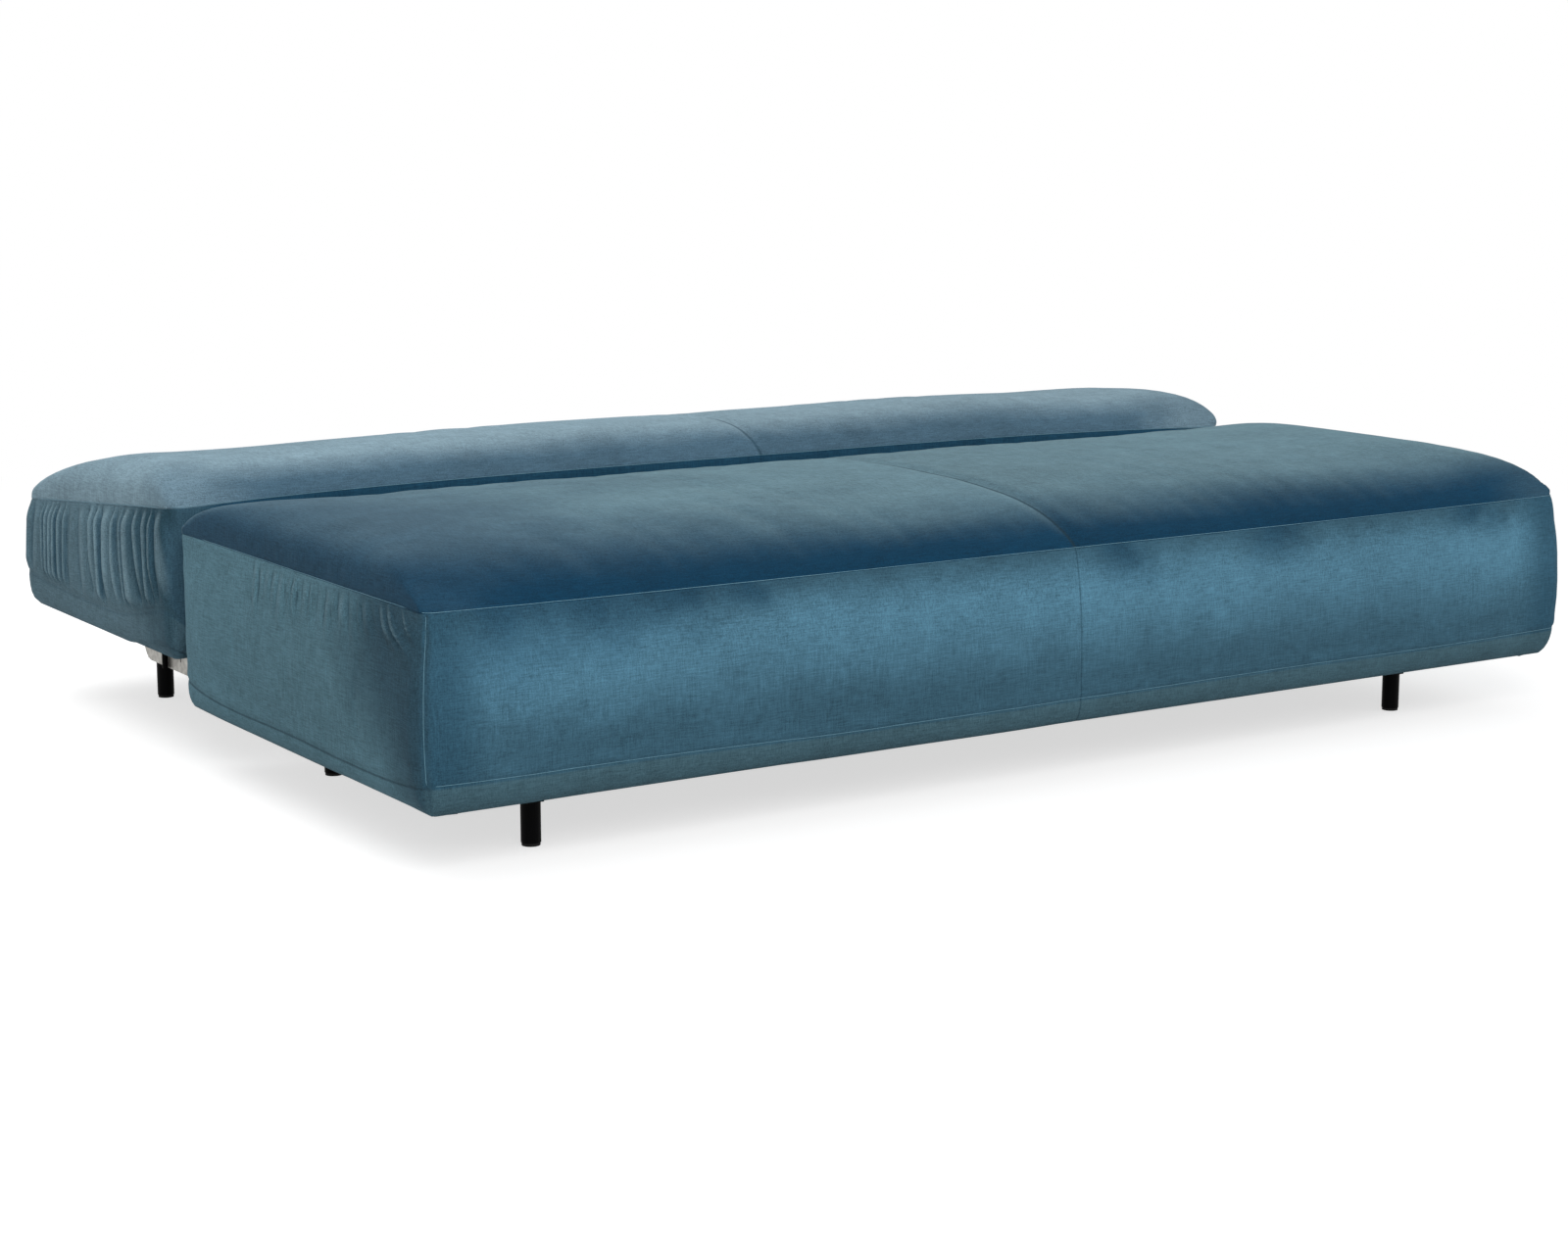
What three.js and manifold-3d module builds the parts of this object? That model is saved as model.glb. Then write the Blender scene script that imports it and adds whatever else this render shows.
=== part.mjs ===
// Click clack sofa bed, laid flat. Millimetres: X runs along the bed, Y from its front to its rear, Z up.
// The seat slides over two base rails, and the back folds up on two notched hinges that the seat carries.

import * as THREE from 'three';
import { mergeVertices } from 'three/addons/utils/BufferGeometryUtils.js';
import Module from 'manifold-3d';

const wasm = await Module();
wasm.setup();

// Driving dimensions, with Y counted from the seat's front seam
const seamLength = 2060;
const seatDepth = 833;
const seatBackGap = 28;
const backDepth = 676;
const seatBottom = 92;
const seatSeamHeight = 360;
const backBottom = 155;
const backFrontSeamHeight = 394;
const backRearSeamHeight = 334;

// Clearances
const seatingGap = 0.3;
const runningGap = 0.5;
const boreGap = 0.4;
const softGap = 2;
const foamGap = 5;
const cutOverrun = 60;

// Covers
const coverThickness = 3;
const planCornerRadius = 42;
const hemReturn = 30;
const seatHemRadius = 14;
const seatCrown = 66;
const seatCrownFall = 80;
const seatRearDraft = 34;
const seatSeamDraw = 18;
const seatFrontBulge = 5;
const endBulge = 14;
const backHemRadius = 22;
const backFrontHemRadius = 66;
const backCrown = 85;
const backCrownFall = 70;
const backRearBulge = 22;
const backSeamDraw = 6;

// Rings of a cushion: shares of the side's height, and shares of the half depth on the crown
const sideShares = [0, 0.04, 0.12, 0.25, 0.45, 0.68, 0.86, 1];
const crownShares = [0.03, 0.09, 0.19, 0.36, 0.62];
const longSideSteps = 10;
const shortSideSteps = 5;
const cornerSteps = 3;

// Wooden frames
const boardThickness = 20;
const seatBoardHeight = 105;
const backBoardHeight = 100;
const backFrontBoardHeight = 60;
const endBoardInset = 31;
const seatFrontBoardInset = 22;
const seatRearBoardInset = 58;
const backFrontBoardInset = 11;
const backRearBoardInset = 30;
const bearerChamfer = 52;
const slatThickness = 12;
const slatWidth = 65;
const slatOverhang = 4;
const seatSlatCount = 5;
const backSlatCount = 3;
const liningThickness = 2;
const liningInset = 34;
const liningHemGap = 3;
const bearerFootSetback = 44;

// Legs and glides
const legRadius = 14;
const glideRadius = 13;
const glideHeight = 4;
const legStudRadius = 5;
const legStudHeight = 12;
const roundSides = 24;
const frontLegEndInset = 220;
const frontLegY = 140;
const railEndInset = 168;
const middleLegFromSeatRear = 163;
const rearLegFromBackRear = 177;

// Base rails, the tube across them and the runners
const railBottom = 62;
const railWidth = 25;
const railHeight = 27;
const railWall = 2;
const railFrontReach = 70;
const railRearReach = 45;
const crossTubeHeight = 25;
const crossTubeDepth = 25;
const crossTubeBehindLeg = 20;
const runnerWidth = 25;
const runnerWall = 2.5;
const runnerFrontReach = 16;
const runnerRearReach = 38;
const stripLength = 380;
const stripFrontSetback = 20;

// Rear leg brackets, their stop bolts and the bumpers
const bracketThickness = 4;
const bracketFrontReach = 190;
const bracketRearReach = 50;
const bracketLowHeight = 40;
const bracketLobeRadius = 34;
const bracketTowerWidth = 30;
const bracketTowerTopDrop = 22;
const bracketSlotWidth = 4;
const bracketSlotHeight = 12;
const bracketSlotFromLeg = 118;
const bracketSlotRise = 24;
const stopBoltRadius = 5;
const stopBoltHeight = 34;
const stopBoltFromLeg = 60;
const bumperWidth = 18;
const bumperDepth = 18;

// Hinges
const pivotBehindSeat = 182;
const pivotAboveBoards = 24.4;
const hingePlateThickness = 6;
const hingeArmWidth = 34;
const hingeHeadRadius = 24;
const hingeFootLength = 110;
const hingePinRadius = 6;
const hingePinHeadRadius = 10;
const hingePinHeadHeight = 3;
const backPlateThickness = 5;
const backPlateHeadRadius = 27;
const backPlateLength = 215;
const backPlateFootHeight = 62;
const backPlateFootStart = 60;
const notchCount = 4;
const notchDepth = 4;
const notchHalfWidth = 3;
const notchStep = 25;
const pawlPivotDrop = 66;
const pawlPivotForward = 12;
const pawlEyeRadius = 9;
const pawlPinRadius = 3.5;
const pawlTipGap = 0.8;
const pawlTipWidth = 6;
const slotInnerClearance = 9;
const slotOuterClearance = 7;
const slotFoamRise = 52;
const slotCoverDrop = 8;
const slotRearReach = 42;

// Places that follow from the sizes above
const halfLength = seamLength / 2;
const frontLegX = halfLength - frontLegEndInset;
const railX = halfLength - railEndInset;
const backFront = seatDepth + seatBackGap;
const backRear = backFront + backDepth;
const middleLegY = seatDepth - middleLegFromSeatRear;
const rearLegY = backRear - rearLegFromBackRear;
const bedFront = -seatFrontBulge;
const bedRear = backRear + backRearBulge;
const railTop = railBottom + railHeight;
const runnerTop = seatBottom - seatingGap;
const seatBoardBottom = seatBottom + coverThickness + seatingGap;
const seatBoardTop = seatBoardBottom + seatBoardHeight;
const seatFoamBottom = seatBoardTop + seatingGap + slatThickness + seatingGap;
const backBoardBottom = backBottom + coverThickness + liningThickness + 2 * seatingGap;
const backBoardTop = backBoardBottom + backBoardHeight;
const backFoamBottom = backBoardTop + seatingGap + slatThickness + seatingGap;
const pivotY = seatDepth + pivotBehindSeat;
const pivotHeight = backBoardTop + pivotAboveBoards;
const runnerInnerX = frontLegX - runnerWidth / 2;
const hingePlateX = runnerInnerX - seatingGap - hingePlateThickness;
const backPlateX = hingePlateX - runningGap - backPlateThickness;
const bearerX = backPlateX - seatingGap - boardThickness;
const seatBearerX = frontLegX - boardThickness / 2;
const runnerFront = frontLegY - runnerFrontReach;
const runnerRear = pivotY + runnerRearReach;
const bracketX = railX + railWidth / 2 + seatingGap;
const bracketRear = rearLegY + bracketRearReach;
const bumperTop = backBottom + coverThickness - liningThickness;
const halfTurn = Math.PI;
const quarterTurn = Math.PI / 2;
const degree = Math.PI / 180;
const sides = [{ name: 'left', sign: -1 }, { name: 'right', sign: 1 }];

const finishes = {
  velvet: { color: 0x47687a, roughness: 0.8, metalness: 0 },
  lining: { color: 0x2b2c2f, roughness: 0.95, metalness: 0 },
  foam: { color: 0xe6dfc4, roughness: 0.95, metalness: 0 },
  wood: { color: 0xc8a678, roughness: 0.7, metalness: 0 },
  blackSteel: { color: 0x141415, roughness: 0.4, metalness: 0.3 },
  galvanised: { color: 0xa9aaa8, roughness: 0.45, metalness: 0.8 },
  steel: { color: 0x8d9093, roughness: 0.4, metalness: 0.9 },
  rubber: { color: 0x161616, roughness: 0.85, metalness: 0 },
  nylon: { color: 0xdad9d2, roughness: 0.55, metalness: 0 },
};

// The whole bed is placed with the middle of its footprint at the origin
const bed = new THREE.Group();
bed.position.y = -(bedFront + bedRear) / 2;

function addPiece(name, finish, geometry) {
  const mesh = new THREE.Mesh(geometry, new THREE.MeshStandardMaterial(finishes[finish]));
  mesh.name = name;
  bed.add(mesh);
}

function toSolid(geometry) {
  const bare = geometry.clone();
  bare.deleteAttribute('normal');
  bare.deleteAttribute('uv');
  const merged = mergeVertices(bare);
  const mesh = new wasm.Mesh({
    numProp: 3,
    vertProperties: new Float32Array(merged.attributes.position.array),
    triVerts: new Uint32Array(merged.index.array),
  });
  return new wasm.Manifold(mesh);
}

function toGeometry(solid) {
  const mesh = solid.getMesh();
  const geometry = new THREE.BufferGeometry();
  geometry.setAttribute('position', new THREE.BufferAttribute(new Float32Array(mesh.vertProperties), 3));
  geometry.setIndex(new THREE.BufferAttribute(new Uint32Array(mesh.triVerts), 1));
  geometry.computeVertexNormals();
  return geometry;
}

function cut(geometry, cutters) {
  let solid = toSolid(geometry);
  for (const cutter of cutters) {
    solid = solid.subtract(toSolid(cutter));
  }
  return toGeometry(solid);
}

function join(geometry, additions) {
  let solid = toSolid(geometry);
  for (const addition of additions) {
    solid = solid.add(toSolid(addition));
  }
  return toGeometry(solid);
}

// A box between two corners
function boxBetween(x0, x1, y0, y1, z0, z1) {
  const box = new THREE.BoxGeometry(x1 - x0, y1 - y0, z1 - z0);
  box.translate((x0 + x1) / 2, (y0 + y1) / 2, (z0 + z1) / 2);
  return box;
}

// The same box on one side of the bed, between two distances from its middle
function sideBox(side, inner, outer, y0, y1, z0, z1) {
  const x0 = side.sign > 0 ? inner : -outer;
  const x1 = side.sign > 0 ? outer : -inner;
  return boxBetween(x0, x1, y0, y1, z0, z1);
}

// A Y-Z outline, extruded along X between two distances from the bed's middle
function sidePlate(side, shape, inner, outer) {
  const plate = new THREE.ExtrudeGeometry(shape, { depth: outer - inner, bevelEnabled: false });
  const toSide = new THREE.Matrix4().makeBasis(
    new THREE.Vector3(0, 1, 0),
    new THREE.Vector3(0, 0, 1),
    new THREE.Vector3(1, 0, 0),
  );
  plate.applyMatrix4(toSide);
  plate.translate(side.sign > 0 ? inner : -outer, 0, 0);
  return plate;
}

// A round bar along X between two distances from the bed's middle
function sideBar(side, radius, inner, outer, y, z) {
  const bar = new THREE.CylinderGeometry(radius, radius, outer - inner, roundSides);
  bar.rotateZ(quarterTurn);
  bar.translate(side.sign * (inner + outer) / 2, y, z);
  return bar;
}

// An upright round bar with its foot at a height
function uprightBar(radius, x, y, z0, z1) {
  const bar = new THREE.CylinderGeometry(radius, radius, z1 - z0, roundSides);
  bar.rotateX(quarterTurn);
  bar.translate(x, y, (z0 + z1) / 2);
  return bar;
}

// One ring of a rounded rectangle, with each point's outward direction and its closeness to mid side
function planRing(cushion, inset) {
  const halfDepth = (cushion.rear - cushion.front) / 2;
  const radius = planCornerRadius * (halfDepth - inset) / halfDepth;
  const halfX = halfLength - inset;
  const front = cushion.front + inset;
  const rear = cushion.rear - inset;
  const corners = [
    { x: halfX - radius, y: front + radius, steps: longSideSteps },
    { x: halfX - radius, y: rear - radius, steps: shortSideSteps },
    { x: radius - halfX, y: rear - radius, steps: longSideSteps },
    { x: radius - halfX, y: front + radius, steps: shortSideSteps },
  ];
  const ring = [];
  for (let c = 0; c < corners.length; c += 1) {
    const corner = corners[c];
    const before = corners[(c + corners.length - 1) % corners.length];
    const turn = (c - 1) * quarterTurn;
    const normalX = Math.cos(turn);
    const normalY = Math.sin(turn);
    for (let i = 0; i < corner.steps; i += 1) {
      const along = i / corner.steps;
      const middleShare = 1 - (2 * along - 1) ** 4;
      ring.push({
        x: before.x + (corner.x - before.x) * along + normalX * radius,
        y: before.y + (corner.y - before.y) * along + normalY * radius,
        normalX,
        normalY,
        middleShare,
      });
    }
    for (let i = 0; i < cornerSteps; i += 1) {
      const angle = turn + quarterTurn * i / cornerSteps;
      ring.push({
        x: corner.x + Math.cos(angle) * radius,
        y: corner.y + Math.sin(angle) * radius,
        normalX: Math.cos(angle),
        normalY: Math.sin(angle),
        middleShare: 0,
      });
    }
  }
  return ring;
}

function seamHeightAt(cushion, y) {
  const along = (y - cushion.front) / (cushion.rear - cushion.front);
  return cushion.frontSeam + (cushion.rearSeam - cushion.frontSeam) * along;
}

function faceValue(point, frontValue, rearValue, endValue) {
  const facing = point.normalY < 0 ? frontValue : rearValue;
  return facing * point.normalY ** 2 + endValue * point.normalX ** 2;
}

// How far the side stands out at a share of its height, before the skin's own offset
function sideOutset(cushion, point, share) {
  const height = seamHeightAt(cushion, point.y) - cushion.bottom;
  const hemRadius = faceValue(point, cushion.frontHemRadius, cushion.hemRadius, cushion.hemRadius);
  const hemShare = Math.max(0, 1 - share * height / hemRadius);
  const hemInset = hemRadius * (1 - Math.sqrt(1 - hemShare ** 2));
  const bulge = faceValue(point, cushion.frontBulge, cushion.rearBulge, endBulge);
  const swell = bulge * (1 - (2 * share - 1) ** 2) * point.middleShare;
  const draft = faceValue(point, 0, cushion.rearDraft, 0) * (1 - share);
  const draw = faceValue(point, cushion.seamDraw, 0, 0) * share ** 4 * point.middleShare;
  return swell - hemInset - draft - draw;
}

function movedOut(point, distance, z) {
  return [point.x + point.normalX * distance, point.y + point.normalY * distance, z];
}

// Rings of a cushion's skin from the inner edge of its hem to the top of its crown
function skinRings(cushion, offset) {
  const rings = [];
  const base = planRing(cushion, 0);
  const halfDepth = (cushion.rear - cushion.front) / 2;
  const underside = cushion.bottom + offset;
  rings.push(base.map((point) => (
    movedOut(point, sideOutset(cushion, point, 0) - hemReturn, underside))));
  for (const share of sideShares) {
    const lift = share === 0 ? offset : 0;
    const drop = share === 1 ? offset : 0;
    rings.push(base.map((point) => {
      const seam = seamHeightAt(cushion, point.y);
      const z = cushion.bottom + (seam - cushion.bottom) * share + lift - drop;
      return movedOut(point, sideOutset(cushion, point, share) - offset, z);
    }));
  }
  for (const share of crownShares) {
    const inset = halfDepth * share;
    rings.push(planRing(cushion, inset).map((point) => {
      const rise = cushion.crown * (1 - Math.exp(-inset / cushion.crownFall));
      const fading = Math.exp(-inset / cushion.crownFall);
      const draw = faceValue(point, cushion.seamDraw, 0, 0) * fading * point.middleShare;
      const z = seamHeightAt(cushion, point.y) + rise - offset;
      return movedOut(point, -offset - draw, z);
    }));
  }
  return rings;
}

function ringMiddle(ring) {
  const sum = [0, 0, 0];
  for (const point of ring) {
    for (let axis = 0; axis < sum.length; axis += 1) {
      sum[axis] += point[axis] / ring.length;
    }
  }
  return sum;
}

// Triangles between two rings, and a fan that closes a ring
function bandFaces(firstRing, secondRing, count) {
  const faces = [];
  for (let i = 0; i < count; i += 1) {
    const next = (i + 1) % count;
    faces.push(firstRing + i, firstRing + next, secondRing + next);
    faces.push(firstRing + i, secondRing + next, secondRing + i);
  }
  return faces;
}

function fanFaces(ring, middle, count) {
  const faces = [];
  for (let i = 0; i < count; i += 1) {
    faces.push(ring + i, ring + (i + 1) % count, middle);
  }
  return faces;
}

// A closed solid from a row of rings, capped at both ends
function loftGeometry(rings) {
  const count = rings[0].length;
  const points = [...rings.flat(), ringMiddle(rings[0]), ringMiddle(rings[rings.length - 1])];
  const faces = [];
  for (let i = 0; i + 1 < rings.length; i += 1) {
    faces.push(...bandFaces(i * count, (i + 1) * count, count));
  }
  const bottomMiddle = rings.length * count;
  const bottomFan = fanFaces(0, bottomMiddle, count);
  faces.push(...bottomFan.reverse());
  faces.push(...fanFaces((rings.length - 1) * count, bottomMiddle + 1, count));
  return meshGeometry(points, faces);
}

// A skin that is open underneath: outer rings, a rim and inner rings, with both tops closed
function shellGeometry(outer, inner) {
  const count = outer[0].length;
  const rings = [...[...inner].reverse(), ...outer];
  const points = [...rings.flat(), ringMiddle(rings[0]), ringMiddle(rings[rings.length - 1])];
  const faces = [];
  for (let i = 0; i + 1 < rings.length; i += 1) {
    faces.push(...bandFaces(i * count, (i + 1) * count, count));
  }
  const innerMiddle = rings.length * count;
  const innerFan = fanFaces(0, innerMiddle, count);
  faces.push(...innerFan.reverse());
  faces.push(...fanFaces((rings.length - 1) * count, innerMiddle + 1, count));
  return meshGeometry(points, faces);
}

function meshGeometry(points, faces) {
  const geometry = new THREE.BufferGeometry();
  geometry.setAttribute('position', new THREE.Float32BufferAttribute(points.flat(), 3));
  geometry.setIndex(faces);
  geometry.computeVertexNormals();
  return geometry;
}

const seatCushion = {
  front: 0,
  rear: seatDepth,
  bottom: seatBottom,
  frontSeam: seatSeamHeight,
  rearSeam: seatSeamHeight,
  crown: seatCrown,
  crownFall: seatCrownFall,
  hemRadius: seatHemRadius,
  frontHemRadius: seatHemRadius,
  frontBulge: seatFrontBulge,
  rearBulge: 0,
  rearDraft: seatRearDraft,
  seamDraw: seatSeamDraw,
};

const backCushion = {
  front: backFront,
  rear: backRear,
  bottom: backBottom,
  frontSeam: backFrontSeamHeight,
  rearSeam: backRearSeamHeight,
  crown: backCrown,
  crownFall: backCrownFall,
  hemRadius: backHemRadius,
  frontHemRadius: backFrontHemRadius,
  frontBulge: 0,
  rearBulge: backRearBulge,
  rearDraft: 0,
  seamDraw: backSeamDraw,
};

// Room for a hinge in the back's soft pieces, open to the front and below
function hingeSlot(side, top) {
  return sideBox(
    side,
    backPlateX - slotInnerClearance,
    runnerInnerX + slotOuterClearance,
    backFront - cutOverrun,
    pivotY + slotRearReach,
    backBottom - cutOverrun,
    top,
  );
}

function addSeatSoftPieces() {
  const cover = shellGeometry(skinRings(seatCushion, 0), skinRings(seatCushion, coverThickness));
  addPiece('seat_cover', 'velvet', cover);
  const foamBlock = loftGeometry(skinRings(seatCushion, coverThickness + foamGap));
  const below = boxBetween(
    -halfLength - cutOverrun,
    halfLength + cutOverrun,
    -cutOverrun,
    seatDepth + cutOverrun,
    seatBottom - cutOverrun,
    seatFoamBottom,
  );
  addPiece('seat_foam', 'foam', cut(foamBlock, [below]));
}

function addBackSoftPieces() {
  const cover = shellGeometry(skinRings(backCushion, 0), skinRings(backCushion, coverThickness));
  const coverSlots = sides.map((side) => hingeSlot(side, pivotHeight - slotCoverDrop));
  addPiece('back_cover', 'velvet', cut(cover, coverSlots));
  const foamBlock = loftGeometry(skinRings(backCushion, coverThickness + foamGap));
  const below = boxBetween(
    -halfLength - cutOverrun,
    halfLength + cutOverrun,
    backFront - cutOverrun,
    backRear + cutOverrun,
    backBottom - cutOverrun,
    backFoamBottom,
  );
  const boardRoom = boxBetween(
    -halfLength - cutOverrun,
    halfLength + cutOverrun,
    backFront - cutOverrun,
    backFront + backFrontBoardInset + boardThickness + seatingGap,
    backBottom - cutOverrun,
    backBoardTop + seatingGap + backFrontBoardHeight + seatingGap,
  );
  const foamSlots = sides.map((side) => hingeSlot(side, pivotHeight + slotFoamRise));
  addPiece('back_foam', 'foam', cut(foamBlock, [below, boardRoom, ...foamSlots]));
}

// The inner edge of the seat cover's hem, and the foot of a bearer inside it
function seatHemEdge() {
  const edge = seatHemRadius + hemReturn;
  return { front: edge, rear: seatDepth - seatRearDraft - edge, end: halfLength - edge };
}

function bearerFoot() {
  const hem = seatHemEdge();
  return { front: hem.front + bearerFootSetback, rear: hem.rear - bearerFootSetback };
}

// Side view of a seat bearer: it rests on its runner between the front and rear hems
function seatBearerShape(front, rear) {
  const footBottom = runnerTop + seatingGap;
  const foot = bearerFoot();
  const shape = new THREE.Shape();
  shape.moveTo(front, seatBoardBottom);
  shape.lineTo(foot.front, seatBoardBottom);
  shape.lineTo(foot.front, footBottom);
  shape.lineTo(foot.rear, footBottom);
  shape.lineTo(foot.rear, seatBoardBottom);
  shape.lineTo(rear, seatBoardBottom);
  shape.lineTo(rear, seatBoardTop);
  shape.lineTo(front, seatBoardTop);
  return shape;
}

// The seat's frame: boards all round, a bearer over each runner and one in the middle, slats on top
function addSeatFrame() {
  const front = seatFrontBoardInset;
  const rear = seatDepth - seatRearBoardInset;
  const outer = halfLength - endBoardInset;
  const inside = outer - boardThickness - seatingGap;
  const bearerFront = front + boardThickness + seatingGap;
  const bearerRear = rear - boardThickness - seatingGap;
  const z0 = seatBoardBottom;
  const z1 = seatBoardTop;
  const frontBoard = boxBetween(-inside, inside, front, front + boardThickness, z0, z1);
  addPiece('seat_frame_front', 'wood', frontBoard);
  const rearBoard = boxBetween(-inside, inside, rear - boardThickness, rear, z0, z1);
  addPiece('seat_frame_rear', 'wood', rearBoard);
  for (const side of sides) {
    const endBoard = sideBox(side, outer - boardThickness, outer, front, rear, z0, z1);
    addPiece(`seat_frame_${side.name}`, 'wood', endBoard);
    const bearerShape = seatBearerShape(bearerFront, bearerRear);
    const bearer = sidePlate(side, bearerShape, seatBearerX, seatBearerX + boardThickness);
    addPiece(`seat_bearer_${side.name}`, 'wood', bearer);
  }
  const half = boardThickness / 2;
  addPiece('seat_frame_centre', 'wood', boxBetween(-half, half, bearerFront, bearerRear, z0, z1));
  addSlats('seat', seatSlatCount, bearerFront, bearerRear, inside, z1 + seatingGap);
}

// Slats run along the bed, evenly spaced between two places
function addSlats(prefix, count, from, to, reach, bottom) {
  const pitch = (to - from - slatWidth) / (count - 1);
  for (let i = 0; i < count; i += 1) {
    const y0 = from + pitch * i;
    const end = reach + slatOverhang;
    const slat = boxBetween(-end, end, y0, y0 + slatWidth, bottom, bottom + slatThickness);
    addPiece(`${prefix}_slat_${i + 1}`, 'wood', slat);
  }
}

// Side view of a back board: its lower front corner is taken off, where the cover is round
function backBearerShape(front, rear) {
  const shape = new THREE.Shape();
  shape.moveTo(front, backBoardBottom + bearerChamfer);
  shape.lineTo(front + bearerChamfer, backBoardBottom);
  shape.lineTo(rear, backBoardBottom);
  shape.lineTo(rear, backBoardTop);
  shape.lineTo(front, backBoardTop);
  return shape;
}

function addBackFrame() {
  const front = backFront + backFrontBoardInset;
  const rear = backRear - backRearBoardInset;
  const outer = halfLength - endBoardInset;
  const inside = outer - boardThickness - seatingGap;
  const bearerRear = rear - boardThickness - seatingGap;
  const frontBoardBottom = backBoardTop + seatingGap;
  const frontBoard = boxBetween(
    -outer, outer, front, front + boardThickness, frontBoardBottom, frontBoardBottom + backFrontBoardHeight);
  const armRoom = sides.map((side) => hingeSlot(side, pivotHeight - slotCoverDrop));
  addPiece('back_frame_front', 'wood', cut(frontBoard, armRoom));
  const rearBoard = boxBetween(-inside, inside, rear - boardThickness, rear, backBoardBottom, backBoardTop);
  addPiece('back_frame_rear', 'wood', rearBoard);
  for (const side of sides) {
    const endBoard = sidePlate(side, backBearerShape(front, rear), outer - boardThickness, outer);
    addPiece(`back_frame_${side.name}`, 'wood', endBoard);
    const bearer = sidePlate(side, backBearerShape(front, bearerRear), bearerX, bearerX + boardThickness);
    addPiece(`back_bearer_${side.name}`, 'wood', bearer);
  }
  const slatFront = pivotY + slotRearReach + softGap;
  addSlats('back', backSlatCount, slatFront, bearerRear, inside, backBoardTop + seatingGap);
}

// The lining under a block, tacked to its boards and inside the hem's edge
function addLinings() {
  const hem = seatHemEdge();
  const foot = bearerFoot();
  const seatEnd = hem.end - liningHemGap;
  const seatTop = seatBoardBottom - seatingGap;
  const seatSheet = boxBetween(
    -seatEnd,
    seatEnd,
    hem.front + liningHemGap,
    hem.rear - liningHemGap,
    seatTop - liningThickness,
    seatTop,
  );
  const footSlots = sides.map((side) => sideBox(
    side,
    seatBearerX - softGap,
    seatBearerX + boardThickness + softGap,
    foot.front - softGap,
    foot.rear + softGap,
    seatTop - liningThickness - cutOverrun,
    seatTop + cutOverrun,
  ));
  addPiece('seat_lining', 'lining', cut(seatSheet, footSlots));
  const backEnd = halfLength - backHemRadius - hemReturn - liningHemGap;
  const backTop = backBoardBottom - seatingGap;
  const backSheet = boxBetween(
    -backEnd,
    backEnd,
    backFront + backFrontHemRadius + hemReturn,
    backRear - backHemRadius - liningInset,
    backTop - liningThickness,
    backTop,
  );
  const slots = sides.map((side) => hingeSlot(side, pivotHeight));
  addPiece('back_lining', 'lining', cut(backSheet, slots));
}

// A leg with its stud, standing on a glide
function addLeg(name, x, y) {
  const glide = uprightBar(glideRadius, x, y, 0, glideHeight);
  addPiece(`${name}_glide`, 'rubber', glide);
  const top = railBottom - seatingGap;
  const tube = uprightBar(legRadius, x, y, glideHeight + seatingGap, top);
  const stud = uprightBar(legStudRadius, x, y, top - legStudHeight, top + legStudHeight);
  addPiece(name, 'blackSteel', join(tube, [stud]));
}

function addLegs() {
  for (const side of sides) {
    addLeg(`front_leg_${side.name}`, side.sign * frontLegX, frontLegY);
    addLeg(`middle_leg_${side.name}`, side.sign * railX, middleLegY);
    addLeg(`rear_leg_${side.name}`, side.sign * railX, rearLegY);
  }
}

function studHole(side, x, y) {
  const radius = legStudRadius + boreGap;
  return uprightBar(radius, side.sign * x, y, railBottom - cutOverrun, railBottom + legStudHeight / 2);
}

// Box-section rails that the middle and rear legs carry, and the tube across their rear ends
function addBase() {
  const front = middleLegY - railFrontReach;
  const rear = rearLegY + railRearReach;
  const inner = railX - railWidth / 2;
  const outer = railX + railWidth / 2;
  for (const side of sides) {
    const bar = sideBox(side, inner, outer, front, rear, railBottom, railTop);
    const hollow = sideBox(
      side,
      inner + railWall,
      outer - railWall,
      front - cutOverrun,
      rear + cutOverrun,
      railBottom + railWall,
      railTop - railWall,
    );
    const holes = [studHole(side, railX, middleLegY), studHole(side, railX, rearLegY)];
    addPiece(`side_rail_${side.name}`, 'galvanised', cut(bar, [hollow, ...holes]));
  }
  const tubeY = rearLegY + crossTubeBehindLeg;
  const reach = inner - seatingGap;
  const y0 = tubeY - crossTubeDepth / 2;
  const y1 = tubeY + crossTubeDepth / 2;
  const tube = boxBetween(-reach, reach, y0, y1, railBottom, railBottom + crossTubeHeight);
  const bore = boxBetween(
    -reach - cutOverrun,
    reach + cutOverrun,
    y0 + railWall,
    y1 - railWall,
    railBottom + railWall,
    railBottom + crossTubeHeight - railWall,
  );
  addPiece('rear_cross_tube', 'galvanised', cut(tube, [bore]));
}

// Channels that slide on the strips, open towards the rails
function addRunners() {
  const inner = runnerInnerX;
  const outer = runnerInnerX + runnerWidth;
  for (const side of sides) {
    const bar = sideBox(side, inner, outer, runnerFront, runnerRear, railBottom, runnerTop);
    const channel = sideBox(
      side,
      inner + runnerWall,
      outer + cutOverrun,
      runnerFront - cutOverrun,
      runnerRear + cutOverrun,
      railBottom + runnerWall,
      runnerTop - runnerWall,
    );
    const holes = [studHole(side, frontLegX, frontLegY)];
    addPiece(`seat_runner_${side.name}`, 'galvanised', cut(bar, [channel, ...holes]));
  }
}

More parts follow.
